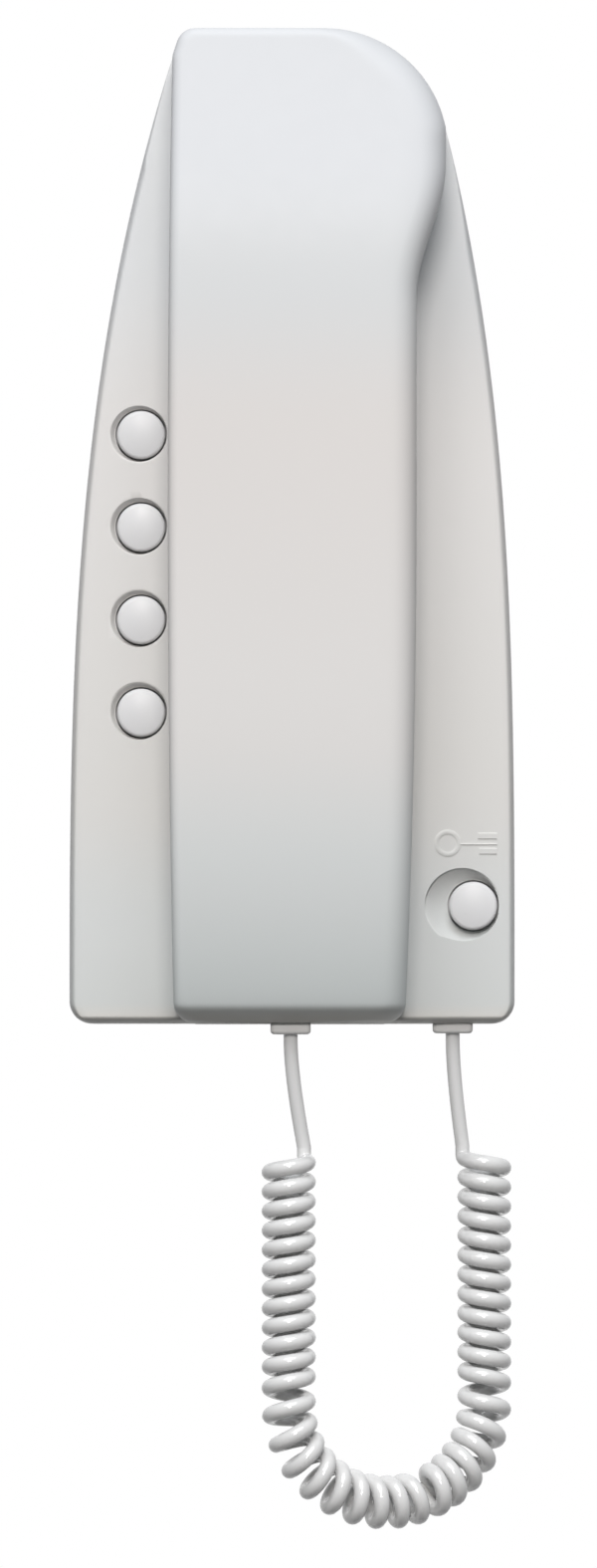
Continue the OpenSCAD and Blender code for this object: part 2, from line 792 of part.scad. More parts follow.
// One cross section of the handset, as a loop seen from above
function hand_loop(z, by, rim) =
    let (
        l = hand_left(z, by),
        r = hand_right(z, by),
        d = hand_front(z) - by,
        rl = min(hand_left_round, 0.3 * (r - l)),
        rr = min(hand_right_round, 0.3 * (r - l))
    )
    concat(
        [[r, -rim, z]],
        [for (a = [0 : 22.5 : 90]) [r - rr * (1 - cos(a)), -(d - rr + rr * sin(a)), z]],
        [for (a = [90 : -30 : 0]) [l + rl * (1 - cos(a)), -(d - rl + rl * sin(a)), z]],
        [[l, -rim, z]]
    );
hand_inner_low = hand_bottom + hand_wall;
hand_inner_high = hand_top - hand_wall;
hand_inner_rows = concat(
    [hand_inner_low],
    [for (z = hand_rows()) if (z > hand_inner_low + 0.5 && z < hand_inner_high - 0.5) z],
    [hand_inner_high]
);
hand_bosses = [[0, 66], [0, 122]];
hand_boss_r = 3.2;
hand_bore = 11;
hand_screw_r = 1.4;
hand_screw_head_r = 2.7;
hand_screw_head_h = 1.3;
hand_screw_sink = 1.4;
hand_screw_seat = cover_back + hand_screw_sink;
module handset_shell() {
    color("whitesmoke") difference() {
        union() {
            difference() {
                loft([for (z = hand_rows()) hand_loop(z, 0, hand_rim)]);
                loft([for (z = hand_inner_rows) hand_loop(z, hand_wall, hand_rim - past)]);
            }
            for (place = hand_bosses)
                stud(place[0], place[1], cover_front, hand_front(place[1]) - hand_wall / 2, hand_boss_r);
        }
        for (place = hand_bosses)
            stud(place[0], place[1], cover_front - past, cover_front + hand_bore, hand_screw_r + thread_fit);
        block([hand_plug_x - collar_w / 2 - fit, hand_plug_depth - collar_t / 2 - fit, -past],
            [hand_plug_x + collar_w / 2 + fit, hand_plug_depth + collar_t / 2 + fit, hand_inner_low + past]);
    }
}

// Holes in a ring or rings, for the ear and mouth grilles
ear_grille_step = 4;
ear_grille_r = 1;
mouth_grille_step = 3.4;
mouth_grille_r = 0.9;
module grille(x, z, rings, step, hole) {
    stud(x, z, cup_end - past, cup_end + cup_wall + past, hole);
    for (ring = [1 : rings])
        for (k = [0 : 6 * ring - 1])
            stud(x + ring * step * cos(60 * k / ring), z + ring * step * sin(60 * k / ring),
                cup_end - past, cup_end + cup_wall + past, hole);
}
// A tapered cup that runs on straight through the cover, turned about its own axis
module cup(x, z, r, from, to) {
    narrow = r - cup_taper * (cover_back - from) / cup_depth;
    translate([x, 0, z]) rotate([90, 0, 0])
        rotate_extrude() polygon([[0, from], [narrow, from], [r, cover_back], [r, to], [0, to]]);
}
module cup_inside(x, z, r) {
    cup(x, z, r - cup_wall, cup_end + cup_wall, cover_front + past);
}
module handset_cover() {
    color("gainsboro") difference() {
        union() {
            front(cover_back, cover_front) polygon(hand_outline(hand_wall + fit));
            cup(ear_x, ear_z, ear_r, cup_end, cover_back + cover_t / 2);
            cup(mouth_x, mouth_z, mouth_r, cup_end, cover_back + cover_t / 2);
        }
        cup_inside(ear_x, ear_z, ear_r);
        cup_inside(mouth_x, mouth_z, mouth_r);
        grille(ear_x, ear_z, 2, ear_grille_step, ear_grille_r);
        grille(mouth_x, mouth_z, 1, mouth_grille_step, mouth_grille_r);
        for (place = hand_bosses) {
            stud(place[0], place[1], cover_back - past, cover_front + past, hand_screw_r + screw_gap);
            stud(place[0], place[1], cover_back - past, hand_screw_seat, hand_screw_head_r + fit);
        }
    }
}

module handset_screws() {
    length = 9;
    half_slot = 0.4;
    reach_out = hand_screw_head_r * 0.6;
    head_back = hand_screw_seat - hand_screw_head_h;
    slot_floor = hand_screw_seat - hand_screw_head_h / 2;
    color("lightgray")
        for (place = hand_bosses)
            difference() {
                union() {
                    stud(place[0], place[1], hand_screw_seat, hand_screw_seat + length, hand_screw_r);
                    stud(place[0], place[1], head_back, hand_screw_seat, hand_screw_head_r);
                }
                block([place[0] - reach_out, head_back - past, place[1] - half_slot],
                    [place[0] + reach_out, slot_floor, place[1] + half_slot]);
                block([place[0] - half_slot, head_back - past, place[1] - reach_out],
                    [place[0] + half_slot, slot_floor, place[1] + reach_out]);
            }
}

cup_floor = cup_end + cup_wall;
ear_inner_r = ear_r - cup_taper - cup_wall;
capsule_r = ear_inner_r - 0.4;
capsule_rim = 3.2;
capsule_dish = 0.8;
gasket_t = 1;
capsule_h = 6;
module earpiece_gasket() {
    color("dimgray") difference() {
        stud(ear_x, ear_z, cup_floor, cup_floor + gasket_t, capsule_r);
        stud(ear_x, ear_z, cup_floor - past, cup_floor + gasket_t + past, capsule_r - capsule_rim);
    }
}
module earpiece() {
    from = cup_floor + gasket_t;
    color("gray") difference() {
        union() {
            stud(ear_x, ear_z, from, from + capsule_h * 0.6, capsule_r);
            stud(ear_x, ear_z, from + capsule_h * 0.5, from + capsule_h, capsule_r * 0.6);
        }
        stud(ear_x, ear_z, from - past, from + capsule_dish, capsule_r - capsule_rim);
    }
}

mic_r = 4.85;
mic_h = 5;
boot_r = 7;
boot_h = 6.5;
boot_fit = 0.05;
boot_hole_r = 1.5;
mic_lip = 1;
mic_back = cup_floor + mic_lip;
module microphone_boot() {
    color("dimgray") difference() {
        stud(mouth_x, mouth_z, cup_floor, cup_floor + boot_h, boot_r);
        stud(mouth_x, mouth_z, mic_back, cup_floor + boot_h + past, mic_r + boot_fit);
        stud(mouth_x, mouth_z, cup_floor - past, mic_back + past, boot_hole_r);
    }
}
module microphone() {
    color("lightgray") stud(mouth_x, mouth_z, mic_back, mic_back + mic_h, mic_r);
}

// The cord's middle line runs down, round a half circle and up again,
// and goes from the depth of the handset's plug to the depth of the base's plug
curl_r = (curl_od - curl_d) / 2;
axis_left = -0.7;
axis_out = 6.7;
axis_right = base_plug_x + axis_out;
curls_top = -29;
// The base's end of the curls is a little higher
right_up = 0.6;
curl_pitch = 4.1;
even_curls = 11.25;
left_bend_curls = 9.5;
right_bend_curls = 6.5;
// Towards the bottom of the loop the curls lie closer together
bend_ease = 0.18;
reversal_share = 0.62;
rings_per_curl = 8;
turn_r = 1.8;
lead_in_r = 2.5;
straight_len = 51.25;
even_len = even_curls * curl_pitch;
bend_r = (axis_right - axis_left) / 2;
bend_len = PI * bend_r;
route_len = 2 * straight_len + bend_len + right_up;
reversal_at = straight_len + reversal_share * bend_len;
depth_slope = (base_plug_depth - hand_plug_depth) / (axis_right - axis_left);
function swing(s) = min(180, max(0, (s - straight_len) / bend_r * 180 / PI));
function route(s) =
    let (
        a = swing(s),
        x = (axis_left + axis_right) / 2 - bend_r * cos(a),
        down = min(s, straight_len) - max(0, s - straight_len - bend_len),
        z = curls_top - down - bend_r * sin(a)
    )
    [x, -hand_plug_depth - depth_slope * (x - axis_left), z];
function inward(s) = [cos(swing(s)), 0, sin(swing(s))];
function heading(s) = unit([sin(swing(s)), -depth_slope * sin(swing(s)), -cos(swing(s))]);
function around(s, turn) = inward(s) * cos(turn) + cross(heading(s), inward(s)) * sin(turn);
function strand(w) = route(w[0]) + curl_r * around(w[0], w[1]);

// How far along the middle line a curl is, counted from either end of the cord
function curl_at(n, bend_curls, end) =
    let (t = (n - even_curls) / bend_curls)
    t < 0
        ? n * curl_pitch
        : even_len + (end - even_len) * t * (1 + bend_ease * (1 - t));
left_curls = even_curls + left_bend_curls;
lead_in_turn = lead_in_r / curl_r * 180 / PI;
lead_in_start = -lead_in_r - curl_d;
lead_in = concat(
    [[lead_in_start, -lead_in_turn]],
    [for (b = [0, 30, 60]) [lead_in_r * (sin(b) - 1), -lead_in_turn * cos(b)]]
);
function wound(bend_curls, end) = [
    for (k = [0 : (even_curls + bend_curls) * rings_per_curl])
        [curl_at(k / rings_per_curl, bend_curls, end), 360 * k / rings_per_curl]
];
function from_far_end(list) = [for (w = backwards(list)) [route_len - w[0], w[1]]];
// The curls turn one way down the handset's side and the other way up the base's side,
// so the cord turns back on itself once, behind the lower right of the loop
reversal = [for (a = [36 : 36 : 144])
    [reversal_at - turn_r * cos(a), 360 * left_curls + turn_r / curl_r * 180 / PI * sin(a)]];
winding = concat(
    lead_in, wound(left_bend_curls, reversal_at - turn_r), reversal,
    from_far_end(concat(lead_in, wound(right_bend_curls, route_len - reversal_at - turn_r)))
);
strand_points = [for (w = winding) strand(w)];
strand_outward = [for (w = winding) around(w[0], w[1])];

// Least gap of the curls to themselves: the strand has flats where it faces the next curl
near = 6;
strand_sides = 6;
least_gap = min([
    for (i = [0 : len(strand_points) - 1 - near])
        for (j = [i + near : len(strand_points) - 1])
            norm(strand_points[i] - strand_points[j])
]) - curl_d * cos(180 / strand_sides);
echo("least gap of the curls to themselves, mm", least_gap);

// A tube through points, with a direction at each point that one side of the tube faces
module tube(points, facing, r, sides) {
    last = len(points) - 1;
    function ahead(i) = unit(points[min(last, i + 1)] - points[max(0, i - 1)]);
    function ring(i) =
        let (t = ahead(i), e = unit(facing[i] - t * (facing[i] * t)), f = cross(t, e))
        [for (k = [0 : sides - 1])
            points[i] + r * (e * cos(360 * k / sides) - f * sin(360 * k / sides))];
    loft([for (i = [0 : last]) ring(i)]);
}
// Each straight end of the cord leaves its plug straight down and runs into the curls
lead_bend = 11;
lead_end_bend = 2;
lead_stub = 0.8;
lead_steps = 8;
function mix(a, b, t) = a + (b - a) * t;
function bezier(p, t) =
    let (
        a = mix(p[0], p[1], t),
        b = mix(p[1], p[2], t),
        c = mix(p[2], p[3], t)
    )
    mix(mix(a, b, t), mix(b, c, t), t);
function lead(x, depth, end, next) =
    let (
        away = unit(end - next),
        start = [x, -depth, -collar_h],
        from = start - [0, 0, lead_stub],
        to = end + away * lead_stub,
        bend = [from, from - [0, 0, lead_bend], to + away * lead_end_bend, to]
    )
    concat([start], [for (k = [0 : lead_steps]) bezier(bend, k / lead_steps)], [end]);
strand_count = len(strand_points);
module cord_curls() {
    color("white") tube(strand_points, strand_outward, curl_d / 2, strand_sides);
}
module cord_end(points) {
    tube(points, [for (p = points) [1, 0, 0]], lead_d / 2, 8);
}
module cord_lead_handset() {
    color("white") cord_end(lead(hand_plug_x, hand_plug_depth, strand_points[0], strand_points[1]));
}
module cord_lead_base() {
    color("white") cord_end(lead(base_plug_x, base_plug_depth,
        strand_points[strand_count - 1], strand_points[strand_count - 2]));
}

module placed() {
    translate([0, 0, -origin_z]) children();
}
placed() wall_plate();
placed() front_housing();
placed() circuit_board();
placed() board_screws();
placed() terminal_block();
placed() terminal_screws();
placed() cord_socket();
placed() button_switches();
placed() sounder();
placed() hook_switch();
placed() housing_screw();
placed() hook_pin();
placed() hook_lever();
placed() call_button_1();
placed() call_button_2();
placed() call_button_3();
placed() call_button_4();
placed() door_button();
placed() handset_shell();
placed() handset_cover();
placed() earpiece();
placed() earpiece_gasket();
placed() microphone();
placed() microphone_boot();
placed() handset_socket();
placed() handset_screws();
placed() handset_plug();
placed() base_plug();
placed() cord_lead_handset();
placed() cord_curls();
placed() cord_lead_base();
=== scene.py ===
import json
import math

import bmesh
import bpy
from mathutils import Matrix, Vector


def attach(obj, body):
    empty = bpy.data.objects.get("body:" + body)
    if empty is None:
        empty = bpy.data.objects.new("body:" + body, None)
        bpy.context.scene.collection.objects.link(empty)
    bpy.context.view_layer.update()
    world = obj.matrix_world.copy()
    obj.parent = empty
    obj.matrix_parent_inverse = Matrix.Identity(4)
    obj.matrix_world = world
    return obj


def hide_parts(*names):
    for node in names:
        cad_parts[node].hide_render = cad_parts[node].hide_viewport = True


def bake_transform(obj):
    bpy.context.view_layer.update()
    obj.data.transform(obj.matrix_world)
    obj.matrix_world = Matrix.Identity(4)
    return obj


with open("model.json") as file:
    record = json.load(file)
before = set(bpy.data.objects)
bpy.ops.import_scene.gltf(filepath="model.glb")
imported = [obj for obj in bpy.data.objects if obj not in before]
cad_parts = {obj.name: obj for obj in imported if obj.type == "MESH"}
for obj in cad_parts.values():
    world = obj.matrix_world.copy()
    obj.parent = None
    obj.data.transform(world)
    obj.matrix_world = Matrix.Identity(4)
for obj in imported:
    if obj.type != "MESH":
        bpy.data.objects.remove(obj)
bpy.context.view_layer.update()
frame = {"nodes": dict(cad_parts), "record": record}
nodes = frame["nodes"]

# Shapes are worked out in millimetres as across, depth out from the wall, and height
# above the base's lower edge, and are put into the frame in metres.
MM = 0.001
ORIGIN_Z = 105.0


def place(across, depth, height):
    return Vector((across * MM, -depth * MM, (height - ORIGIN_Z) * MM))


# Camera: straight on, with a long lens. FRAME_H is the height that the picture shows at
# the depth CAMERA_PLANE, and LOOK_AT its middle, across and in height.
FRAME_H = 330.75
LOOK_AT = (1.365, 50.75)
CAMERA_FAR = 5600.0
CAMERA_PLANE = 34.0


def make_camera():
    data = bpy.data.cameras.new("camera")
    data.lens = data.sensor_width * CAMERA_FAR / FRAME_H
    camera = bpy.data.objects.new("camera", data)
    bpy.context.scene.collection.objects.link(camera)
    camera.location = place(LOOK_AT[0], CAMERA_PLANE + CAMERA_FAR, LOOK_AT[1])
    camera.rotation_euler = (math.radians(90), 0, 0)
    bpy.context.scene.camera = camera


# The outlines of the base and of the handset
BODY_H = 210.0
BODY_W = 94.2
LEFT_SWEEP, LEFT_POWER = 23.7, 3.0
RIGHT_SWEEP, RIGHT_POWER = 20.6, 3.3
BOTTOM_R = 4.8
TOP_LEFT_R = 4.2
TOP_RIGHT_R = 26.0
# Where a side's lean is taken for its top corner, as a share of the corner's radius
TOP_LEFT_SHARE, TOP_RIGHT_SHARE = 0.3, 0.26
WALL = 2.2
WING_DEPTH, WING_CROWN, WING_MID = 27.0, 5.0, 100.0
CRADLE = 32.6
HAND_RIM = 33.0
HAND_DEPTH = 59.85
HAND_EDGE = 0.2
HAND_BOTTOM = 0.4
HAND_TOP = BODY_H - HAND_EDGE
HAND_CORNER_R = 4.5
HAND_CORNER_Z = HAND_BOTTOM + HAND_CORNER_R
HAND_WALL = 2.2
GRIP_LEFT, GRIP_RIGHT, GRIP_MID = 26.1, 26.2, 110.0
GRIP_LEFT_BOW, GRIP_RIGHT_BOW = 1.25, 2.4
EAR_BULGE, BULGE_FROM, BULGE_LEN = 6.2, 153.0, 28.0


def smooth(t):
    u = min(1.0, max(0.0, t))
    return u * u * (3 - 2 * u)


def arc(r, h):
    return math.sqrt(max(0.0, r * r - h * h))


def turned(first, last, step):
    """Cosines and sines of the angles from first to last, in degrees."""
    angles = [math.radians(a) for a in range(first, last + 1, step)]
    return [(math.cos(t), math.sin(t)) for t in angles]


def left_line(z):
    return -BODY_W / 2 + LEFT_SWEEP * (max(0.0, z) / BODY_H) ** LEFT_POWER


def right_line(z):
    return BODY_W / 2 - RIGHT_SWEEP * (max(0.0, z) / BODY_H) ** RIGHT_POWER


def lean(sweep, power, z):
    return math.atan(power * sweep / BODY_H * (z / BODY_H) ** (power - 1))


# The centres of the top corners, and the heights where these meet the sides
TOP_LEFT_Z = BODY_H - TOP_LEFT_R
TOP_RIGHT_Z = BODY_H - TOP_RIGHT_R
TOP_LEFT_LEAN = lean(LEFT_SWEEP, LEFT_POWER, TOP_LEFT_Z + TOP_LEFT_SHARE * TOP_LEFT_R)
TOP_RIGHT_LEAN = lean(RIGHT_SWEEP, RIGHT_POWER, TOP_RIGHT_Z + TOP_RIGHT_SHARE * TOP_RIGHT_R)
TOP_LEFT_MEET = TOP_LEFT_Z + TOP_LEFT_R * math.sin(TOP_LEFT_LEAN)
TOP_RIGHT_MEET = TOP_RIGHT_Z + TOP_RIGHT_R * math.sin(TOP_RIGHT_LEAN)
TOP_LEFT_X = left_line(TOP_LEFT_MEET) + TOP_LEFT_R * math.cos(TOP_LEFT_LEAN)
TOP_RIGHT_X = right_line(TOP_RIGHT_MEET) - TOP_RIGHT_R * math.cos(TOP_RIGHT_LEAN)


def body_left(z, by=0.0):
    if z < BOTTOM_R:
        return left_line(BOTTOM_R) + BOTTOM_R - arc(BOTTOM_R - by, BOTTOM_R - z)
    if z > TOP_LEFT_MEET:
        return TOP_LEFT_X - arc(TOP_LEFT_R - by, z - TOP_LEFT_Z)
    return left_line(z) + by


def body_right(z, by=0.0):
    if z < BOTTOM_R:
        return right_line(BOTTOM_R) - BOTTOM_R + arc(BOTTOM_R - by, BOTTOM_R - z)
    if z > TOP_RIGHT_MEET:
        return TOP_RIGHT_X + arc(TOP_RIGHT_R - by, z - TOP_RIGHT_Z)
    return right_line(z) - by


def grip_left(z):
    return -GRIP_LEFT + GRIP_LEFT_BOW * ((z - GRIP_MID) / GRIP_MID) ** 2


def grip_right(z):
    bow = GRIP_RIGHT_BOW * max(0.0, 1 - z / GRIP_MID) ** 2
    return GRIP_RIGHT - bow + EAR_BULGE * smooth((z - BULGE_FROM) / BULGE_LEN)


def hand_left(z, by=0.0):
    if z < HAND_CORNER_Z:
        drop = HAND_CORNER_R - arc(HAND_CORNER_R - by, HAND_CORNER_Z - z)
        return grip_left(HAND_CORNER_Z) + drop
    return max(body_left(z, HAND_EDGE + by), grip_left(z) + by)


def hand_right(z, by=0.0):
    if z < HAND_CORNER_Z:
        drop = HAND_CORNER_R - arc(HAND_CORNER_R - by, HAND_CORNER_Z - z)
        return grip_right(HAND_CORNER_Z) - drop
    return min(body_right(z, HAND_EDGE + by), grip_right(z) - by)


def wing(z):
    return WING_DEPTH - WING_CROWN * ((z - WING_MID) / WING_MID) ** 2


def ramp(u, w):
    """Nearly 0 below zero and nearly u above it, with a bend of width w between."""
    return (u + math.sqrt(u * u + w * w)) / 2


def edge_drop(away, r):
    """How far a rounded edge of radius r has fallen back at a distance from its end."""
    return r - arc(r, r - min(r, max(0.0, away)))


# The handset's front: its tail drops back and has a bevel at its end, its ear end leans back
TAIL_DROP, TAIL_FROM = 11.2, 80.0
TILT, TILT_FROM, TILT_BLEND = 0.22, 168.0, 10.0
TAIL_BEVEL, TAIL_BEVEL_H, TAIL_BEVEL_SOFT = 3.0, 5.0, 0.6


def hand_front(z):
    bevel = TAIL_BEVEL_H / TAIL_BEVEL * ramp(HAND_BOTTOM + TAIL_BEVEL - z, TAIL_BEVEL_SOFT)
    return (
        HAND_DEPTH
        - TILT * ramp(z - TILT_FROM, TILT_BLEND)
        - TAIL_DROP * (max(0.0, TAIL_FROM - z) / TAIL_FROM) ** 3
        - bevel
    )


# The rows at a rounded bottom, by angle, and round the corner at the upper right
BOTTOM_STEP_DEG, TOP_ROWS = 6, 26


def rows(low, corner_r, top, step):
    """Heights from low to top, closer together at the rounded ends."""
    found = [low + corner_r * (1 - c) for c, _ in turned(0, 90, BOTTOM_STEP_DEG)]
    start = found[-1]
    count = round((TOP_RIGHT_MEET - start) / step)
    found += [start + (TOP_RIGHT_MEET - start) * k / count for k in range(1, count + 1)]
    for k in range(1, TOP_ROWS + 1):
        turn = TOP_RIGHT_LEAN + (math.pi / 2 - TOP_RIGHT_LEAN) * k / TOP_ROWS
        found.append(TOP_RIGHT_Z + (top - TOP_RIGHT_Z) * math.sin(turn))
    return found


# Making meshes. Edges that bend by more than an angle, in degrees, are shaded as sharp.
SMOOTH_ANGLE = 35


def shade(mesh, smooth_angle):
    mesh.shade_smooth()
    mesh.set_sharp_from_angle(angle=math.radians(smooth_angle))


def make_piece(name, points, faces, smooth_angle=SMOOTH_ANGLE):
    mesh = bpy.data.meshes.new(name)
    mesh.from_pydata([place(*p) for p in points], [], faces)
    mesh.validate()
    bm = bmesh.new()
    bm.from_mesh(mesh)
    bmesh.ops.recalc_face_normals(bm, faces=bm.faces)
    bm.to_mesh(mesh)
    bm.free()
    if smooth_angle is not None:
        shade(mesh, smooth_angle)
    piece = bpy.data.objects.new(name, mesh)
    bpy.context.scene.collection.objects.link(piece)
    return piece


def strips(loops, closed, offset=0):
    """Quads between neighbouring loops that have the same number of points."""
    n = len(loops[0])
    faces = []
    for i in range(len(loops) - 1):
        for j in range(n if closed else n - 1):
            a = offset + i * n + j
            b = offset + i * n + (j + 1) % n
            faces.append((a, b, b + n, a + n))
    return faces


def stacked(name, loops, smooth_angle=SMOOTH_ANGLE):
    """A closed piece through closed loops, with flat ends."""
    n = len(loops[0])
    points = [p for loop in loops for p in loop]
    faces = strips(loops, True)
    faces.append(tuple(range(n)))
    faces.append(tuple(range((len(loops) - 1) * n, len(loops) * n)))
    return make_piece(name, points, faces, smooth_angle)


def double_shell(name, outer, inner, smooth_angle=SMOOTH_ANGLE):
    """A shell that is open at the back: outer and inner loops run from rim to rim."""
    n, m = len(outer[0]), len(inner[0])
    count = len(outer)
    points = [p for loop in outer for p in loop]
    second = len(points)
    points += [p for loop in inner for p in loop]
    faces = strips(outer, False) + strips(inner, False, second)
    for i in range(count - 1):
        for side_o, side_i in ((0, 0), (n - 1, m - 1)):
            a, b = i * n + side_o, second + i * m + side_i
            faces.append((a, a + n, b + m, b))
    for row in (0, count - 1):
        o, s = row * n, second + row * m
        faces.append(tuple(range(o, o + n)))
        faces.append(tuple(range(s, s + m)))
        faces.append((o, o + n - 1, s + m - 1, s))
    return make_piece(name, points, faces, smooth_angle)


def line(a, b, count):
    """Points from just after a to b."""
    return [
        (a[0] + (b[0] - a[0]) * k / count, a[1] + (b[1] - a[1]) * k / count)
        for k in range(1, count + 1)
    ]


# Handset shell: the front falls away towards its edges, most of all on the right
LEFT_ROUND, RIGHT_ROUND, TOP_ROUND = 2.2, 5.2, 1.7
ROUND_MOST = 0.4
SHOULDER, SHOULDER_W, EAR_SHOULDER = 0.5, 9.0, 1.0
RIM_EDGE, FRONT_EDGE = 0.4, 0.4
# Round the ear's corner, the right edge's rounding passes into the top's
PASS_FROM, PASS_OVER = math.radians(55), math.radians(35)
INSIDE_RIGHT_R, INSIDE_LEFT_R, INSIDE_MOST = 4.0, 2.0, 0.3
# How far the middle of a quarter circle of radius 1 is from its corner, across and along
ARC_MIDDLE = 0.3
LEAN_STEP = 0.05
HAND_ROW, HAND_ACROSS, SIDE_STEPS = 1.6, 30, 3
RIGHT_STEP_DEG, LEFT_STEP_DEG = 6, 10
HAND_SMOOTH = 40


def slanted(side_of, z):
    """Cosine of the angle at which a side's outline leans at a height."""
    above, below = min(HAND_TOP, z + LEAN_STEP), max(HAND_BOTTOM, z - LEAN_STEP)
    run = (side_of(above) - side_of(below)) / (2 * LEAN_STEP)
    return 1 / math.sqrt(1 + run * run)


def handset_depth(x, z):
    """Depth of the handset's front, with its edges rounded at right angles to the outline."""
    corner = TOP_RIGHT_R - HAND_EDGE
    turn = math.atan2(z - TOP_RIGHT_Z, x - TOP_RIGHT_X)
    top_away = HAND_TOP - z
    r = RIGHT_ROUND
    if TOP_RIGHT_LEAN < turn < math.pi / 2 and z > TOP_RIGHT_Z:
        away = corner - math.hypot(x - TOP_RIGHT_X, z - TOP_RIGHT_Z)
        r -= (RIGHT_ROUND - TOP_ROUND) * smooth((turn - PASS_FROM) / PASS_OVER)
    elif z > TOP_RIGHT_Z and x < TOP_RIGHT_X:
        away, r = top_away, TOP_ROUND
    else:
        away = (hand_right(z) - x) * slanted(hand_right, z)
    left_away = (x - hand_left(z)) * slanted(hand_left, z)
    drop = max(
        edge_drop(away, r),
        edge_drop(left_away, LEFT_ROUND),
        edge_drop(top_away, TOP_ROUND),
    )
    right_away = max(0.0, hand_right(z) - x)
    shoulder = SHOULDER + EAR_SHOULDER * smooth((z - BULGE_FROM) / BULGE_LEN)
    return hand_front(z) - drop - shoulder * max(0.0, 1 - right_away / SHOULDER_W) ** 2


def handset_loop(z):
    left, right = hand_left(z), hand_right(z)
    share = min(1.0, ROUND_MOST * (right - left) / RIGHT_ROUND)
    right_r, left_r = share * RIGHT_ROUND, share * LEFT_ROUND
    xs = [right - right_r * (1 - c) for c, _ in turned(0, 90, RIGHT_STEP_DEG)]
    start, width = xs[-1], left + left_r - xs[-1]
    xs += [start + width * k / HAND_ACROSS for k in range(1, HAND_ACROSS)]
    xs += [left + left_r * (1 - c) for c, _ in reversed(turned(0, 90, LEFT_STEP_DEG))]
    front = [(x, handset_depth(x, z)) for x in xs]
    loop = [(right - RIM_EDGE, HAND_RIM), (right, HAND_RIM + RIM_EDGE)]
    loop += line(loop[-1], (right, front[0][1] - FRONT_EDGE), SIDE_STEPS)
    loop += front
    loop += line(loop[-1], (left, HAND_RIM + RIM_EDGE), SIDE_STEPS)
    loop.append((left + RIM_EDGE, HAND_RIM))
    return [(x, depth, z) for x, depth in loop]


def handset_inside(z):
    left, right = hand_left(z, HAND_WALL), hand_right(z, HAND_WALL)
    d = hand_front(z) - HAND_WALL - SHOULDER
    most = INSIDE_MOST * (right - left)
    rr, rl = min(INSIDE_RIGHT_R, most), min(INSIDE_LEFT_R, most)
    loop = [(right, HAND_RIM), (right, d - rr)]
    loop += [(right - ARC_MIDDLE * rr, d - ARC_MIDDLE * rr), (right - rr, d)]
    loop += [(left + rl, d), (left + ARC_MIDDLE * rl, d - ARC_MIDDLE * rl)]
    loop += [(left, d - rl), (left, HAND_RIM)]
    return [(x, depth, z) for x, depth in loop]


def inner_height(z, low, top, wall):
    return low + wall + (z - low) * (top - low - 2 * wall) / (top - low)


def make_handset():
    heights = rows(HAND_BOTTOM, HAND_CORNER_R, HAND_TOP, HAND_ROW)
    outer = [handset_loop(z) for z in heights]
    inner = [handset_inside(inner_height(z, HAND_BOTTOM, HAND_TOP, HAND_WALL)) for z in heights]
    return double_shell("handset_front", outer, inner, HAND_SMOOTH)


# Front housing. Beside the handset, on the right (True) and on the left, it rises in a
# cove: its width, its rise and the height where it ends.
COVES = {True: (11.5, 3.0, 182.0), False: (5.0, 0.2, 196.0)}
COVE_FADE, COVE_MOST = 25.0, 0.85
EDGE_W, EDGE_D, EDGE_MOST, EDGE_LEAD = 1.4, 5.0, 0.9, 0.5
BOTTOM_EDGE_W, BOTTOM_EDGE_D = 1.7, 6.0
STEP_EDGE, STEP_IN, INSIDE_STEP = 0.25, 0.02, 0.05
EDGE_STEP_DEG, WING_STEPS, COVE_STEPS, CRADLE_STEPS = 10, 10, 14, 24
BASE_ROW, BOTTOM_ROWS = 1.5, 12
BASE_SMOOTH = 32


def cove_of(z, right):
    """The handset's edge at a height, and the cove's width and rise beside it."""
    reach, rise, top = COVES[right]
    at = max(z, HAND_CORNER_Z)
    edge = hand_right(at) if right else hand_left(at)
    room = body_right(at) - edge if right else edge - body_left(at)
    return edge, min(reach, COVE_MOST * room), rise * smooth((top - z) / COVE_FADE)


def wing_surface(across, z):
    """Depth of the base's front to the right of the handset."""
    edge, width, up = cove_of(z, True)
    return wing(z) + up * max(0.0, 1 - max(0.0, across - edge) / width) ** 2


def half_loop(z, right):
    """From the wall plane over the outer edge, the wing and the cove to the cradle."""
    sign = 1 if right else -1
    outside = body_right(z) if right else body_left(z)
    limit = hand_right(z) if right else hand_left(z)
    edge, width, up = cove_of(z, right)
    room = abs(outside - edge)
    width = min(width, COVE_MOST * room)
    edge_w = min(EDGE_W, EDGE_MOST * (room - width))
    edge_d = EDGE_D * edge_w / EDGE_W
    fall = edge_drop(z, BOTTOM_EDGE_W) * BOTTOM_EDGE_D / BOTTOM_EDGE_W
    face = wing(z) - fall
    loop = [(outside, 0.0)]
    loop += line(loop[-1], (outside, face - edge_d - EDGE_LEAD), SIDE_STEPS)
    for c, s in turned(0, 90, EDGE_STEP_DEG):
        loop.append((outside - sign * edge_w * (1 - c), face - edge_d * (1 - s)))
    loop += line(loop[-1], (edge + sign * width, face), WING_STEPS)
    for k in range(COVE_STEPS - 1, -1, -1):
        t = k / COVE_STEPS
        loop.append((edge + sign * width * t, face + up * (1 - t) ** 2))
    loop.append((limit - sign * STEP_IN, face + up))
    loop.append((limit - sign * STEP_IN, CRADLE - fall - STEP_EDGE))
    loop.append((limit - sign * STEP_EDGE, CRADLE - fall))
    return loop


def housing_loop(z):
    right = half_loop(z, True)
    left = half_loop(z, False)
    across = line(right[-1], left[-1], CRADLE_STEPS)[:-1]
    return [(x, d, z) for x, d in right + across + left[::-1]]


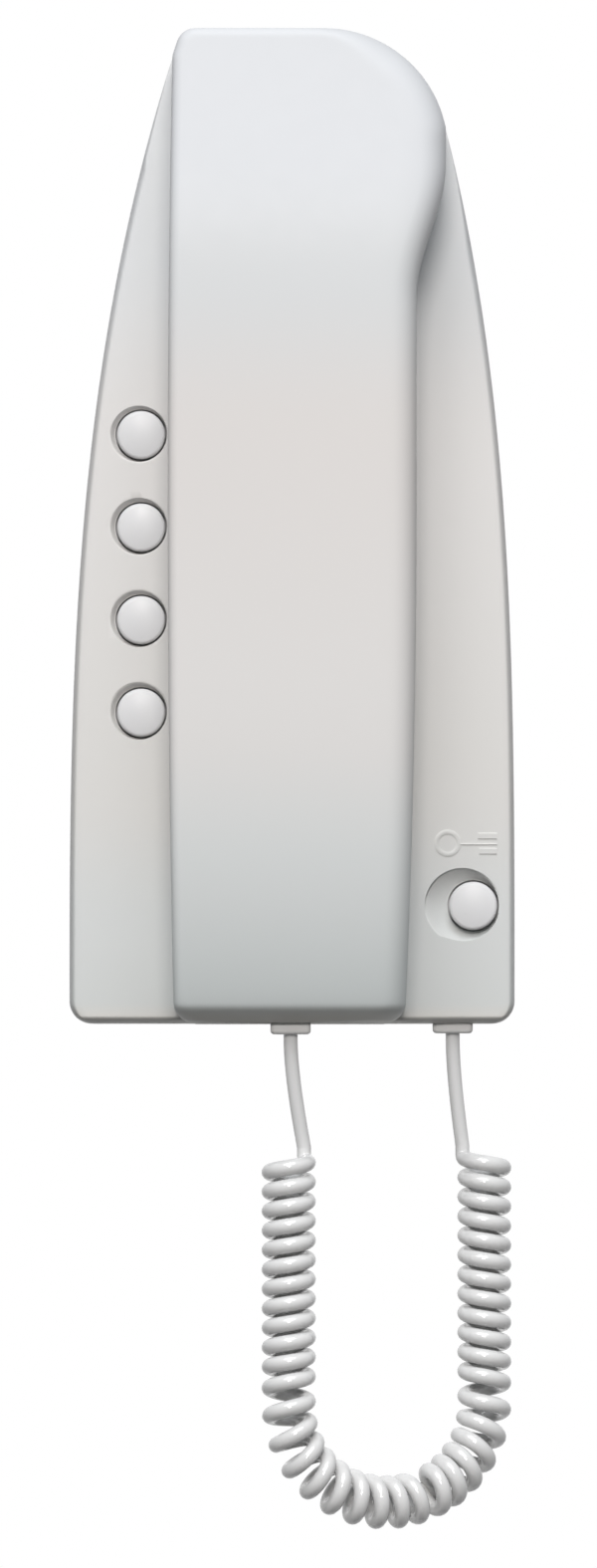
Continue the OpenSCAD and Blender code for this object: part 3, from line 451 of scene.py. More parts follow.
def housing_inside(z):
    bl, br = body_left(z, WALL), body_right(z, WALL)
    hl = max(bl + INSIDE_STEP, hand_left(max(z, HAND_CORNER_Z), WALL))
    hr = min(br - INSIDE_STEP, hand_right(max(z, HAND_CORNER_Z), WALL))
    low, high = wing(z) - WALL, CRADLE - WALL
    loop = [(br, 0.0), (br, low), (hr, low), (hr, high)]
    loop += [(hl, high), (hl, low), (bl, low), (bl, 0.0)]
    return [(x, d, z) for x, d in loop]


# What is cut into the housing. The cups are given across, in height and by their radius,
# the buttons across and in height, the plugs and the screw across and in depth.
EAR = (3.32, 178.0, 21.5)
MOUTH = (-0.34, 28.0, 17.0)
COVER_BACK = 33.15
CUP_DEPTH, CUP_TAPER, POCKET_GAP = 9.0, 5.0, 0.8
POCKET_FLOOR = COVER_BACK - CUP_DEPTH - POCKET_GAP
POCKET_FOOT, POCKET_FOOT_CUT = 1.2, 0.35
POCKET_RIM, POCKET_OVER, POCKET_PAST = 0.8, 1.0, 2.0
CALL_X, CALL_Z, CALL_PITCH, CALL_COUNT = -31.9, 65.8, 19.55, 4
CALLS = [(CALL_X, CALL_Z + k * CALL_PITCH) for k in range(CALL_COUNT)]
DOOR = (38.3, 25.0)
CAP_R, CAP_GAP = 5.1, 0.35
HOLE_R, HOLE_DEEP = CAP_R + CAP_GAP, 8.0
# A dish's shift, across and in height, its rim's radius and its depth
DOOR_DISH = ((-2.3, 0.0), 7.8, 3.6)
CALL_DISH = ((-0.5, 0.3), 6.0, 2.0)
DISH_LEDGE, DISH_LIFT, DISH_PAST, DISH_RINGS = 0.1, 0.001, 3.0, 6
# The softening of a dish's rim, and how far the rim flares, leans, rises and reaches, as
# multiples of it
DISH_SOFT = 0.12
RIM_FLARE, RIM_LEAN, RIM_RISE, RIM_REACH = 2.0, 0.3, 1.1, 2.4
ROUND_STEP_DEG = 15
DOOR_GUIDE = 5.0
DOOR_PAD, DOOR_PAD_R = (36.0, 25.0), 8.3
HOOK_SLOT = ((10.1, 28, 134.5), (17.9, 36, 148.5))
HAND_PLUG = (-0.3, 39.25)
BASE_PLUG = (34.0, 15.5)
PLUG_HOLE_HALF, PLUG_HOLE_TOP = (4.4, 3.25), 4
SCREW = (-30.0, 6.2)
SCREW_PAD = ((-34, 2.65, 1.1), (-26, 9.7, 4.2))
SCREW_R, SCREW_TOP = 1.6, 5
SCREW_HEAD_R, SCREW_SEAT = 2.8, 2.0
CUT_LOW = -3
AROUND, SCREW_AROUND = 96, 40


def circle(x, z, r, depth):
    turn = 2 * math.pi / AROUND
    return [(x + r * math.cos(k * turn), depth, z + r * math.sin(k * turn)) for k in range(AROUND)]


def cup_radius(r, depth):
    return r - CUP_TAPER * (COVER_BACK - depth) / CUP_DEPTH


def pocket_wall(name, cup):
    x, z, r = cup
    by = POCKET_GAP + WALL
    ends = (POCKET_FLOOR - WALL, CRADLE - WALL / 2)
    return stacked(name, [circle(x, z, cup_radius(r, d) + by, d) for d in ends])


def pocket(name, cup):
    """The space for a cup, with a rounded foot and a rounded rim."""
    x, z, r = cup
    foot, rim = POCKET_FLOOR + POCKET_FOOT, CRADLE - POCKET_RIM
    floor_r = cup_radius(r, POCKET_FLOOR) + POCKET_GAP
    rim_r = cup_radius(r, rim) + POCKET_GAP
    loops = [
        circle(x, z, floor_r - POCKET_FOOT, POCKET_FLOOR),
        circle(x, z, floor_r - POCKET_FOOT_CUT, POCKET_FLOOR + POCKET_FOOT_CUT),
        circle(x, z, cup_radius(r, foot) + POCKET_GAP, foot),
        circle(x, z, rim_r, rim),
    ]
    for c, s in turned(ROUND_STEP_DEG, 90, ROUND_STEP_DEG):
        loops.append(circle(x, z, rim_r + POCKET_RIM * (1 - c), rim + POCKET_RIM * s))
    loops.append(circle(x, z, rim_r + POCKET_OVER, CRADLE + POCKET_PAST))
    return stacked(name, loops)


def dish(name, centre, shift, rim_r, depth):
    """A dish that narrows to a button's hole, with a rounded rim, and the hole itself."""
    x, z = centre
    face = wing(z)
    foot_r, flare = HOLE_R + DISH_LEDGE, rim_r - HOLE_R - DISH_LEDGE
    below_rim = 1 - DISH_SOFT / depth
    loops = [circle(x, z, HOLE_R, face - HOLE_DEEP), circle(x, z, HOLE_R, face - depth)]
    for k in range(DISH_RINGS + 1):
        t = k / DISH_RINGS * below_rim
        at = face - depth * (1 - t) + DISH_LIFT
        loops.append(circle(x + shift[0] * t, z + shift[1] * t, foot_r + flare * t, at))
    rim_x, rim_z = x + shift[0], z + shift[1]
    top_r = foot_r + flare * below_rim
    for c, s in turned(ROUND_STEP_DEG, 90, ROUND_STEP_DEG):
        r = top_r + RIM_FLARE * DISH_SOFT * (1 - c) + RIM_LEAN * DISH_SOFT * s
        loops.append(circle(rim_x, rim_z, r, face - DISH_SOFT + DISH_SOFT * RIM_RISE * s))
    loops.append(circle(rim_x, rim_z, top_r + RIM_REACH * DISH_SOFT, face + DISH_PAST))
    return stacked(name, loops)


def box_piece(name, low, high):
    (x0, d0, z0), (x1, d1, z1) = low, high
    return stacked(name, [[(x0, d0, z), (x1, d0, z), (x1, d1, z), (x0, d1, z)] for z in (z0, z1)])


def upright(name, x, depth, z0, z1, r):
    turns = [k * (2 * math.pi / SCREW_AROUND) for k in range(SCREW_AROUND)]
    ring = [(x + r * math.cos(t), depth + r * math.sin(t)) for t in turns]
    return stacked(name, [[(px, pd, z) for px, pd in ring] for z in (z0, z1)])


def cut_shape(piece, steps):
    """Joins and cuts a piece with others, in turn, and leaves one plain mesh."""
    for operation, tool in steps:
        modifier = piece.modifiers.new(tool.name, "BOOLEAN")
        modifier.operation = operation
        modifier.solver = "EXACT"
        modifier.object = tool
    bpy.context.view_layer.update()
    shaped = piece.evaluated_get(bpy.context.evaluated_depsgraph_get())
    mesh = bpy.data.meshes.new_from_object(shaped)
    piece.modifiers.clear()
    old = piece.data
    piece.data = mesh
    bpy.data.meshes.remove(old)
    for _, tool in steps:
        data = tool.data
        bpy.data.objects.remove(tool)
        bpy.data.meshes.remove(data)


def door_pad():
    face = wing(DOOR[1])
    ends = (face - DOOR_GUIDE, face - WALL / 2)
    return stacked("door_pad", [circle(*DOOR_PAD, DOOR_PAD_R, d) for d in ends])


def plug_hole():
    (x, depth), (half_w, half_t) = BASE_PLUG, PLUG_HOLE_HALF
    low = (x - half_w, depth - half_t, CUT_LOW)
    high = (x + half_w, depth + half_t, PLUG_HOLE_TOP)
    return box_piece("plug_hole", low, high)


def make_housing():
    heights = rows(0.0, BOTTOM_R, BODY_H, BASE_ROW)
    bottom = [BOTTOM_EDGE_W * k / BOTTOM_ROWS for k in range(1, BOTTOM_ROWS + 1)]
    heights = sorted(set(heights + bottom))
    outer = [housing_loop(z) for z in heights]
    inner = [housing_inside(inner_height(z, 0.0, BODY_H, WALL)) for z in heights]
    housing = double_shell("base_front", outer, inner)
    steps = [
        ("UNION", pocket_wall("ear_wall", EAR)),
        ("UNION", pocket_wall("mouth_wall", MOUTH)),
        ("UNION", door_pad()),
        ("UNION", box_piece("screw_pad", *SCREW_PAD)),
        ("DIFFERENCE", pocket("ear_pocket", EAR)),
        ("DIFFERENCE", pocket("mouth_pocket", MOUTH)),
        ("DIFFERENCE", box_piece("hook_slot", *HOOK_SLOT)),
        ("DIFFERENCE", dish("door_dish", DOOR, *DOOR_DISH)),
        ("DIFFERENCE", plug_hole()),
        ("DIFFERENCE", upright("screw_hole", *SCREW, CUT_LOW, SCREW_TOP, SCREW_R)),
        ("DIFFERENCE", upright("screw_seat", *SCREW, CUT_LOW, SCREW_SEAT, SCREW_HEAD_R)),
    ]
    for k, centre in enumerate(CALLS):
        steps.append(("DIFFERENCE", dish("call_dish_%d" % k, centre, *CALL_DISH)))
    cut_shape(housing, steps)
    shade(housing.data, BASE_SMOOTH)
    return housing


# The key sign above the door button: a ring, a stem and two bits, standing slightly proud.
# The ring is given by its middle, its radius and half its width, the bars by their sides.
SIGN_H, SIGN_SINK = 0.22, 0.3
SIGN_RING = (32.9, 38.25, 2.35, 0.5)
SIGN_BARS = [(35.0, 43.3, 37.85, 38.2), (39.3, 43.3, 39.1, 40.4), (39.6, 43.3, 35.9, 37.2)]
SIGN_SIDE_H = SIGN_H * 0.5
SIGN_SOFT, SIGN_SOFT_MOST = 0.12, 0.3
SIGN_AROUND, SIGN_STEPS = 64, 10
SIGN_SMOOTH = 40


def sign_ring(x, z, r, half_w):
    """A raised ring that follows the housing's surface."""
    top_w = half_w * 0.5
    profile = [(-half_w, -SIGN_SINK), (-half_w, SIGN_SIDE_H), (-top_w, SIGN_H)]
    profile += [(top_w, SIGN_H), (half_w, SIGN_SIDE_H), (half_w, -SIGN_SINK)]
    n = len(profile)
    points, faces = [], []
    for k in range(SIGN_AROUND):
        t = 2 * math.pi * k / SIGN_AROUND
        for out, up in profile:
            px, pz = x + (r + out) * math.cos(t), z + (r + out) * math.sin(t)
            points.append((px, wing_surface(px, pz) + up, pz))
        for j in range(n):
            a, b = k * n + j, k * n + (j + 1) % n
            c = (k + 1) % SIGN_AROUND * n
            faces.append((a, b, c + (j + 1) % n, c + j))
    return points, faces


def sign_bar(x0, x1, z0, z1):
    """A raised bar with softened edges."""
    soft = min(SIGN_SOFT, SIGN_SOFT_MOST * (z1 - z0))
    profile = [(z0, -SIGN_SINK), (z0, SIGN_SIDE_H), (z0 + soft, SIGN_H)]
    profile += [(z1 - soft, SIGN_H), (z1, SIGN_SIDE_H), (z1, -SIGN_SINK)]
    n = len(profile)
    points, faces = [], []
    for k in range(SIGN_STEPS + 1):
        x = x0 + (x1 - x0) * k / SIGN_STEPS
        points += [(x, wing_surface(x, z) + up, z) for z, up in profile]
    for k in range(SIGN_STEPS):
        for j in range(n):
            a, b = k * n + j, k * n + (j + 1) % n
            faces.append((a, b, b + n, a + n))
    faces.append(tuple(range(n)))
    faces.append(tuple(range(SIGN_STEPS * n, (SIGN_STEPS + 1) * n)))
    return points, faces


def make_sign():
    points, faces = sign_ring(*SIGN_RING)
    for bar in SIGN_BARS:
        more, sides = sign_bar(*bar)
        faces += [tuple(len(points) + i for i in corners) for corners in sides]
        points += more
    return make_piece("key_sign", points, faces, SIGN_SMOOTH)


# Buttons: a stem, a flange behind the housing and a domed cap with a rounded edge
CAP_PROUD, CALL_GUIDE = 0.9, 4.7
FLANGE_T, FLANGE_OVER, SLACK = 1.5, 1.1, 0.3
BOARD_FRONT, SWITCH_H, BUTTON_TRAVEL, STEM_R = 11.6, 3.5, 1.2, 2.0
CAP_EDGE, CAP_DOME, CAP_LEAD = 0.9, 0.45, 0.2
CAP_EDGE_DEG, CAP_STEP_DEG, CAP_RINGS = 84, 7, 13
CAP_SMOOTH = 50


def make_button(name, centre, guide):
    x, z = centre
    face = wing(z) + CAP_PROUD
    flange_front = wing(z) - guide - SLACK
    flange_back = flange_front - FLANGE_T
    flange_r = HOLE_R + FLANGE_OVER
    stem_end = BOARD_FRONT + SWITCH_H + BUTTON_TRAVEL + SLACK
    shoulder = face - CAP_DOME
    profile = [(STEM_R, stem_end), (STEM_R, flange_back), (flange_r, flange_back)]
    profile += [(flange_r, flange_front), (CAP_R, flange_front), (CAP_R, flange_front + CAP_LEAD)]
    profile.append((CAP_R, shoulder - CAP_EDGE - CAP_LEAD))
    for c, s in turned(0, CAP_EDGE_DEG, CAP_STEP_DEG):
        profile.append((CAP_R - CAP_EDGE * (1 - c), shoulder - CAP_EDGE * (1 - s)))
    top_r, low = profile[-1]
    for k in range(1, CAP_RINGS):
        r = top_r * (1 - k / CAP_RINGS)
        profile.append((r, face - (face - low) * (r / top_r) ** 2))
    return stacked(name, [circle(x, z, r, d) for r, d in profile], CAP_SMOOTH)


# Plugs: each has a collar that shows below the casing
PLUG_W, PLUG_T, PLUG_R, PLUG_RISE = 7.8, 5.4, 0.5, 12
COLLAR_W, COLLAR_T, COLLAR_R = 8.5, 6.2, 0.9
COLLAR_H, COLLAR_IN, COLLAR_SOFT, COLLAR_STEP = 2.0, 1.0, 0.8, 0.1
PLUG_SMOOTH = 40


def make_plug(name, x, depth, top):
    def rounded(z, half_w, half_t, r):
        loop = []
        for sx, sd, first in ((1, 1, 0), (-1, 1, 90), (-1, -1, 180), (1, -1, 270)):
            middle_x, middle_d = x + sx * (half_w - r), depth + sd * (half_t - r)
            corner = turned(first, first + 90, ROUND_STEP_DEG)
            loop += [(middle_x + r * c, middle_d + r * s, z) for c, s in corner]
        return loop

    half_w, half_t = COLLAR_W / 2, COLLAR_T / 2
    loops = []
    for c, s in turned(0, 90, ROUND_STEP_DEG):
        shrink = COLLAR_SOFT * (1 - s)
        z = -COLLAR_H + COLLAR_SOFT * (1 - c)
        loops.append(rounded(z, half_w - shrink, half_t - shrink, COLLAR_R))
    loops.append(rounded(COLLAR_IN - COLLAR_STEP, half_w, half_t, COLLAR_R))
    inset = (half_w - COLLAR_STEP, half_t - COLLAR_STEP, COLLAR_R - COLLAR_STEP)
    loops.append(rounded(COLLAR_IN, *inset))
    loops.append(rounded(COLLAR_IN, PLUG_W / 2, PLUG_T / 2, PLUG_R))
    loops.append(rounded(top, PLUG_W / 2, PLUG_T / 2, PLUG_R))
    return stacked(name, loops, PLUG_SMOOTH)


# Cord: its curls are wound about a route that runs down from the handset's side, round a
# half circle and up to the base's side, and their winding reverses once in the bend.
CURL_D, LEAD_D, CURL_OD = 3.4, 3.0, 11.5
CURL_R = (CURL_OD - CURL_D) / 2
AXIS_LEFT, AXIS_RIGHT, CURLS_TOP = -0.7, 40.7, -29.0
CURL_PITCH, EVEN_CURLS, STRAIGHT_LEN = 4.1, 11.25, 51.25
LEFT_BEND_CURLS, RIGHT_BEND_CURLS, RIGHT_UP = 9.5, 6.5, 0.6
LEFT_EASE, RIGHT_EASE = 0.2, 0.25
REVERSAL_SHARE, LEVEL_TURN = 0.62, 0.5
TURN_R, TURN_STEP_DEG = 1.8, 10
# The elbows between the straight ends and the curls: their radius, the turn about the
# route where they begin and how far outside the curls that is
LEFT_ELBOW, RIGHT_ELBOW = (1.7, -0.65, 0.0), (1.6, 0.0, 0.6)
ELBOW_END_DEG, ELBOW_STEP_DEG = 81, 9
LEAD_STUB, LEAD_OUT, LEAD_BEND, LEAD_END_BEND, LEAD_STEPS = 0.4, 0.8, 9.0, 0.6, 28
RINGS_PER_CURL, STRAND_SIDES, TAPER_RINGS = 32, 18, 12
CORD_SMOOTH = 60
BEND_R = (AXIS_RIGHT - AXIS_LEFT) / 2
BEND_LEN = math.pi * BEND_R
ROUTE_LEN = 2 * STRAIGHT_LEN + BEND_LEN + RIGHT_UP
REVERSAL_AT = STRAIGHT_LEN + REVERSAL_SHARE * BEND_LEN
DEPTH_SLOPE = (BASE_PLUG[1] - HAND_PLUG[1]) / (AXIS_RIGHT - AXIS_LEFT)


def swing(s):
    return min(math.pi, max(0.0, (s - STRAIGHT_LEN) / BEND_R))


def route(s):
    a = swing(s)
    x = (AXIS_LEFT + AXIS_RIGHT) / 2 - BEND_R * math.cos(a)
    depth = HAND_PLUG[1] + DEPTH_SLOPE * (x - AXIS_LEFT)
    down = min(s, STRAIGHT_LEN) - max(0.0, s - STRAIGHT_LEN - BEND_LEN)
    return Vector((x, depth, CURLS_TOP - down - BEND_R * math.sin(a)))


def around(s, turn):
    a = swing(s)
    inward = Vector((math.cos(a), 0.0, math.sin(a)))
    heading = Vector((math.sin(a), DEPTH_SLOPE * math.sin(a), -math.cos(a))).normalized()
    return inward * math.cos(turn) - heading.cross(inward) * math.sin(turn)


def strand(w):
    s, turn, out = w
    return route(s) + (CURL_R + out) * around(s, turn)


def curl_at(n, bend_curls, end, ease):
    """How far along the route curl n is.

    Curls lie closer together towards the reversal, and the last part of a turn runs level
    into it.
    """
    even_len = EVEN_CURLS * CURL_PITCH
    beyond = max(0.0, n - EVEN_CURLS - bend_curls + LEVEL_TURN)
    level = beyond * beyond / (2 * LEVEL_TURN)
    t = (n - level - EVEN_CURLS) / (bend_curls - LEVEL_TURN / 2)
    if t < 0:
        return n * CURL_PITCH
    return even_len + (end - even_len) * t * (1 + ease * (1 - t))


def side(bend_curls, end, ease, elbow):
    """Curls from one plug's end to the reversal, with the elbow that leads into them."""
    r, start, out = elbow
    full = 2 * math.pi
    first = start + r / CURL_R
    begin = first / full * CURL_PITCH
    points = [(begin - r - LEAD_STUB, start, out)]
    for c, s in turned(0, ELBOW_END_DEG, ELBOW_STEP_DEG):
        points.append((begin + r * (s - 1), first - r / CURL_R * c, out * c))
    for k in range(round((EVEN_CURLS + bend_curls) * RINGS_PER_CURL) + 1):
        turn = full * k / RINGS_PER_CURL
        if turn > first:
            points.append((curl_at(k / RINGS_PER_CURL, bend_curls, end, ease), turn, 0.0))
    return points


def winding():
    """Places along the route, turns about it and distances outside the curls."""
    left = side(LEFT_BEND_CURLS, REVERSAL_AT - TURN_R, LEFT_EASE, LEFT_ELBOW)
    right = side(RIGHT_BEND_CURLS, ROUTE_LEN - REVERSAL_AT - TURN_R, RIGHT_EASE, RIGHT_ELBOW)
    last_turn = left[-1][1]
    reversal = []
    for c, s in turned(TURN_STEP_DEG, 180 - TURN_STEP_DEG, TURN_STEP_DEG):
        reversal.append((REVERSAL_AT - TURN_R * c, last_turn + TURN_R / CURL_R * s, 0.0))
    return left + reversal + [(ROUTE_LEN - s, turn, out) for s, turn, out in reversed(right)]


def bezier(p, t):
    a, b, c = p[0].lerp(p[1], t), p[1].lerp(p[2], t), p[2].lerp(p[3], t)
    return a.lerp(b, t).lerp(b.lerp(c, t), t)


def lead(plug, end, following):
    """From a plug's lower face to the end of the curls."""
    away = (end - following).normalized()
    start = Vector((plug[0], plug[1], -COLLAR_H))
    first = start - Vector((0, 0, LEAD_OUT))
    last = end + away * LEAD_OUT
    handles = [first, first - Vector((0, 0, LEAD_BEND)), last + away * LEAD_END_BEND, last]
    return [start] + [bezier(handles, k / LEAD_STEPS) for k in range(LEAD_STEPS + 1)]


def make_cord():
    """The cord, its middle line, and the share of the handset's motion of each of its rings."""
    wound = winding()
    curls = [strand(w) for w in wound]
    left = lead(HAND_PLUG, curls[0], curls[1])
    right = lead(BASE_PLUG, curls[-1], curls[-2])
    path = left + curls + right[::-1]
    count = len(path)
    loops = []
    facing = Vector((1, 0, 0))
    for i, p in enumerate(path):
        ahead = (path[min(count - 1, i + 1)] - path[max(0, i - 1)]).normalized()
        facing = (facing - ahead * facing.dot(ahead)).normalized()
        other = ahead.cross(facing)
        near = min(i - len(left), len(left) + len(curls) - 1 - i)
        r = (LEAD_D + (CURL_D - LEAD_D) * smooth(near / TAPER_RINGS)) / 2
        ring = []
        for k in range(STRAND_SIDES):
            t = 2 * math.pi * k / STRAND_SIDES
            q = p + (facing * math.cos(t) + other * math.sin(t)) * r
            ring.append((q.x, q.y, q.z))
        loops.append(ring)
    cord = stacked("curly_cord", loops, CORD_SMOOTH)
    along = [1 - smooth(s / ROUTE_LEN) for s, _, _ in wound]
    follows = [1.0] * len(left) + along + [0.0] * len(right)
    return cord, [place(*p) for p in path], follows


# Materials: the scale and the detail of the uneven colour, the uneven gloss and the grain
TINT_NOISE, GLOSS_NOISE, GRAIN_NOISE = (18, 3), (240, 4), (2200, 2)
NOISE_LOW, NOISE_HIGH = 0.3, 0.7
TINT_LEAST = 0.985
GLOSS_DOWN, GLOSS_UP = 0.03, 0.04
GRAIN_DEPTH = 0.00002
WHITE = (0.72, 0.72, 0.715)
CAP_WHITE = (0.735, 0.735, 0.74)
CORD_WHITE = (0.70, 0.70, 0.695)
PLUG_WHITE = (0.82, 0.82, 0.81)
# Painted light and shade: faint tints and darkening of the white with the height, in place of the
# light's colour casts and shading, as a height and the factors there
HAND_PAINTED_LIGHT = [
    (1.2, (1.0, 0.99, 0.94)),
    (4.2, (0.945, 1.0, 1.0)),
    (32.0, (0.965, 0.995, 0.995)),
    (62.0, (1.0, 0.98, 0.965)),
    (125.0, (1.0, 0.965, 0.945)),
    (158.0, (0.955, 0.972, 0.985)),
    (185.0, (0.93, 0.948, 0.98)),
]
BASE_PAINTED_LIGHT = [
    (1.2, (1.0, 0.985, 0.945)),
    (5.0, (0.955, 0.98, 0.97)),
    (20.0, (0.97, 0.99, 0.985)),
    (50.0, (1.0, 0.985, 0.96)),
    (125.0, (1.0, 0.98, 0.965)),
    (165.0, (0.97, 0.985, 1.0)),
]


def paint_light_over(tree, where, colour, painted_light):
    """Multiplies a colour by factors that change with the height: painted light and shade."""
    parts = tree.nodes.new("ShaderNodeSeparateXYZ")
    tree.links.new(where, parts.inputs["Vector"])
    up = tree.nodes.new("ShaderNodeMapRange")
    up.inputs["From Min"].default_value = place(0, 0, 0).z
    up.inputs["From Max"].default_value = place(0, 0, BODY_H).z
    tree.links.new(parts.outputs["Z"], up.inputs["Value"])
    band = tree.nodes.new("ShaderNodeValToRGB")
    band.color_ramp.interpolation = "EASE"
    while len(band.color_ramp.elements) < len(painted_light):
        band.color_ramp.elements.new(0.5)
    for stop, (height, factor) in zip(band.color_ramp.elements, painted_light):
        stop.position = height / BODY_H
        stop.color = (*factor, 1)
    tree.links.new(up.outputs["Result"], band.inputs["Fac"])
    painted = tree.nodes.new("ShaderNodeMix")
    painted.data_type = "RGBA"
    painted.blend_type = "MULTIPLY"
    painted.inputs["Factor"].default_value = 1.0
    tree.links.new(colour, painted.inputs["A"])
    tree.links.new(band.outputs["Color"], painted.inputs["B"])
    return painted.outputs["Result"]


def plastic(name, colour, rough, specular=0.35, grain=0.25, painted_light=()):
    """Moulded plastic: a faint grain, slightly uneven gloss and slightly uneven colour, and where
    given, light and shade painted into the colour by height.
    """
    material = bpy.data.materials.new(name)
    material.use_nodes = True
    tree = material.node_tree
    shader = tree.nodes["Principled BSDF"]
    shader.inputs["Specular IOR Level"].default_value = specular
    where = tree.nodes.new("ShaderNodeTexCoord").outputs["Object"]

    def noise(scale, detail):
        node = tree.nodes.new("ShaderNodeTexNoise")
        node.inputs["Scale"].default_value = scale
        node.inputs["Detail"].default_value = detail
        tree.links.new(where, node.inputs["Vector"])
        return node.outputs["Fac"]

    tint = tree.nodes.new("ShaderNodeMix")
    tint.data_type = "RGBA"
    tint.inputs["A"].default_value = (*[c * TINT_LEAST for c in colour], 1)
    tint.inputs["B"].default_value = (*colour, 1)
    tree.links.new(noise(*TINT_NOISE), tint.inputs["Factor"])
    colour_out = tint.outputs["Result"]
    # Painted light and shade: the colour is tinted and darkened by height
    if painted_light:
        colour_out = paint_light_over(tree, where, colour_out, painted_light)
    tree.links.new(colour_out, shader.inputs["Base Color"])

    gloss = tree.nodes.new("ShaderNodeMapRange")
    gloss.inputs["From Min"].default_value = NOISE_LOW
    gloss.inputs["From Max"].default_value = NOISE_HIGH
    gloss.inputs["To Min"].default_value = rough - GLOSS_DOWN
    gloss.inputs["To Max"].default_value = rough + GLOSS_UP
    tree.links.new(noise(*GLOSS_NOISE), gloss.inputs["Value"])
    tree.links.new(gloss.outputs["Result"], shader.inputs["Roughness"])

    bump = tree.nodes.new("ShaderNodeBump")
    bump.inputs["Strength"].default_value = grain
    bump.inputs["Distance"].default_value = GRAIN_DEPTH
    tree.links.new(noise(*GRAIN_NOISE), bump.inputs["Height"])
    tree.links.new(bump.outputs["Normal"], shader.inputs["Normal"])
    return material


def metal(name, colour, rough):
    material = plastic(name, colour, rough, specular=0.5, grain=0.4)
    material.node_tree.nodes["Principled BSDF"].inputs["Metallic"].default_value = 1.0
    return material


def dress(piece, material):
    piece.data.materials.clear()
    piece.data.materials.append(material)


# The floor lies well below the picture's lower edge
FLOOR_HALF, FLOOR_Z = 220.0, -600.0


def make_floor(material):
    corners = ((-1, -1), (1, -1), (1, 1), (-1, 1))
    points = [(x * FLOOR_HALF, d * FLOOR_HALF, FLOOR_Z) for x, d in corners]
    floor = make_piece("floor", points, [(0, 1, 2, 3)], None)
    dress(floor, material)


# Light: a warm lamp in front and a cool one above, both large and soft, a faint one from
# the upper left and one behind for the back, in a dim room that is lighter above.
# Seen by the camera and in reflections, the room is white.
ROOM_TINT = (0.96, 1.0, 1.05, 1)
ROOM_FROM, ROOM_TO = -0.2, 0.5
ROOM_BELOW, ROOM_ABOVE = 0.01, 0.3
LAMP_FAR = 6.0
LAMP_AIM = (0, 30, 60)


def make_world():
    scene = bpy.context.scene
    scene.view_settings.view_transform = "Standard"
    world = bpy.data.worlds.new("room")
    scene.world = world
    world.use_nodes = True
    tree = world.node_tree
    tree.nodes.clear()
    out = tree.nodes.new("ShaderNodeOutputWorld")
    seen = tree.nodes.new("ShaderNodeBackground")
    seen.inputs["Color"].default_value = (1, 1, 1, 1)
    seen.inputs["Strength"].default_value = 1.0
    soft = tree.nodes.new("ShaderNodeBackground")
    soft.inputs["Color"].default_value = ROOM_TINT
    where = tree.nodes.new("ShaderNodeTexCoord")
    parts = tree.nodes.new("ShaderNodeSeparateXYZ")
    fade = tree.nodes.new("ShaderNodeMapRange")
    fade.inputs["From Min"].default_value = ROOM_FROM
    fade.inputs["From Max"].default_value = ROOM_TO
    fade.inputs["To Min"].default_value = ROOM_BELOW
    fade.inputs["To Max"].default_value = ROOM_ABOVE
    tree.links.new(where.outputs["Generated"], parts.inputs["Vector"])
    tree.links.new(parts.outputs["Z"], fade.inputs["Value"])
    tree.links.new(fade.outputs["Result"], soft.inputs["Strength"])
    path = tree.nodes.new("ShaderNodeLightPath")
    either = tree.nodes.new("ShaderNodeMath")
    either.operation = "MAXIMUM"
    also = tree.nodes.new("ShaderNodeMath")
    also.operation = "MAXIMUM"
    tree.links.new(path.outputs["Is Camera Ray"], either.inputs[0])
    tree.links.new(path.outputs["Is Glossy Ray"], either.inputs[1])
    tree.links.new(either.outputs["Value"], also.inputs[0])
    tree.links.new(path.outputs["Is Transmission Ray"], also.inputs[1])
    mix = tree.nodes.new("ShaderNodeMixShader")
    tree.links.new(also.outputs["Value"], mix.inputs["Fac"])
    tree.links.new(soft.outputs["Background"], mix.inputs[1])
    tree.links.new(seen.outputs["Background"], mix.inputs[2])
    tree.links.new(mix.outputs["Shader"], out.inputs["Surface"])


def make_lamp(name, azimuth, height, size, level, colour, shines=True):
    """A round lamp; level is what a white face turned to it would show.

    Its azimuth and height are angles in degrees, and its size is in metres. A lamp that
    doesn't shine leaves no highlights.
    """
    a, h = math.radians(azimuth), math.radians(height)
    back = Vector((math.sin(a) * math.cos(h), -math.cos(a) * math.cos(h), math.sin(h)))
    lamp = bpy.data.lights.new(name, "AREA")
    lamp.shape = "DISK"
    lamp.size = size
    r = size / 2
    lamp.energy = level * (math.pi * r) ** 2 * (r * r + LAMP_FAR * LAMP_FAR) / (r * r)
    lamp.color = colour
    piece = bpy.data.objects.new(name, lamp)
    bpy.context.scene.collection.objects.link(piece)
    piece.location = place(*LAMP_AIM) + back * LAMP_FAR
    piece.rotation_mode = "QUATERNION"
    piece.rotation_quaternion = (-back).to_track_quat("-Z", "Y")
    piece.visible_glossy = shines


def make_light():
    make_world()
    make_lamp("front", 0, 18.5, 1.4, 0.45, (1.0, 0.96, 0.93))
    make_lamp("above", 0, 49, 4.5, 0.63, (0.955, 0.975, 1.0))
    make_lamp("spark", -28, 44, 1.4, 0.06, (1.0, 1.0, 1.0))
    make_lamp("behind", 180, 0, 1.4, 0.35, (1.0, 1.0, 1.0), shines=False)


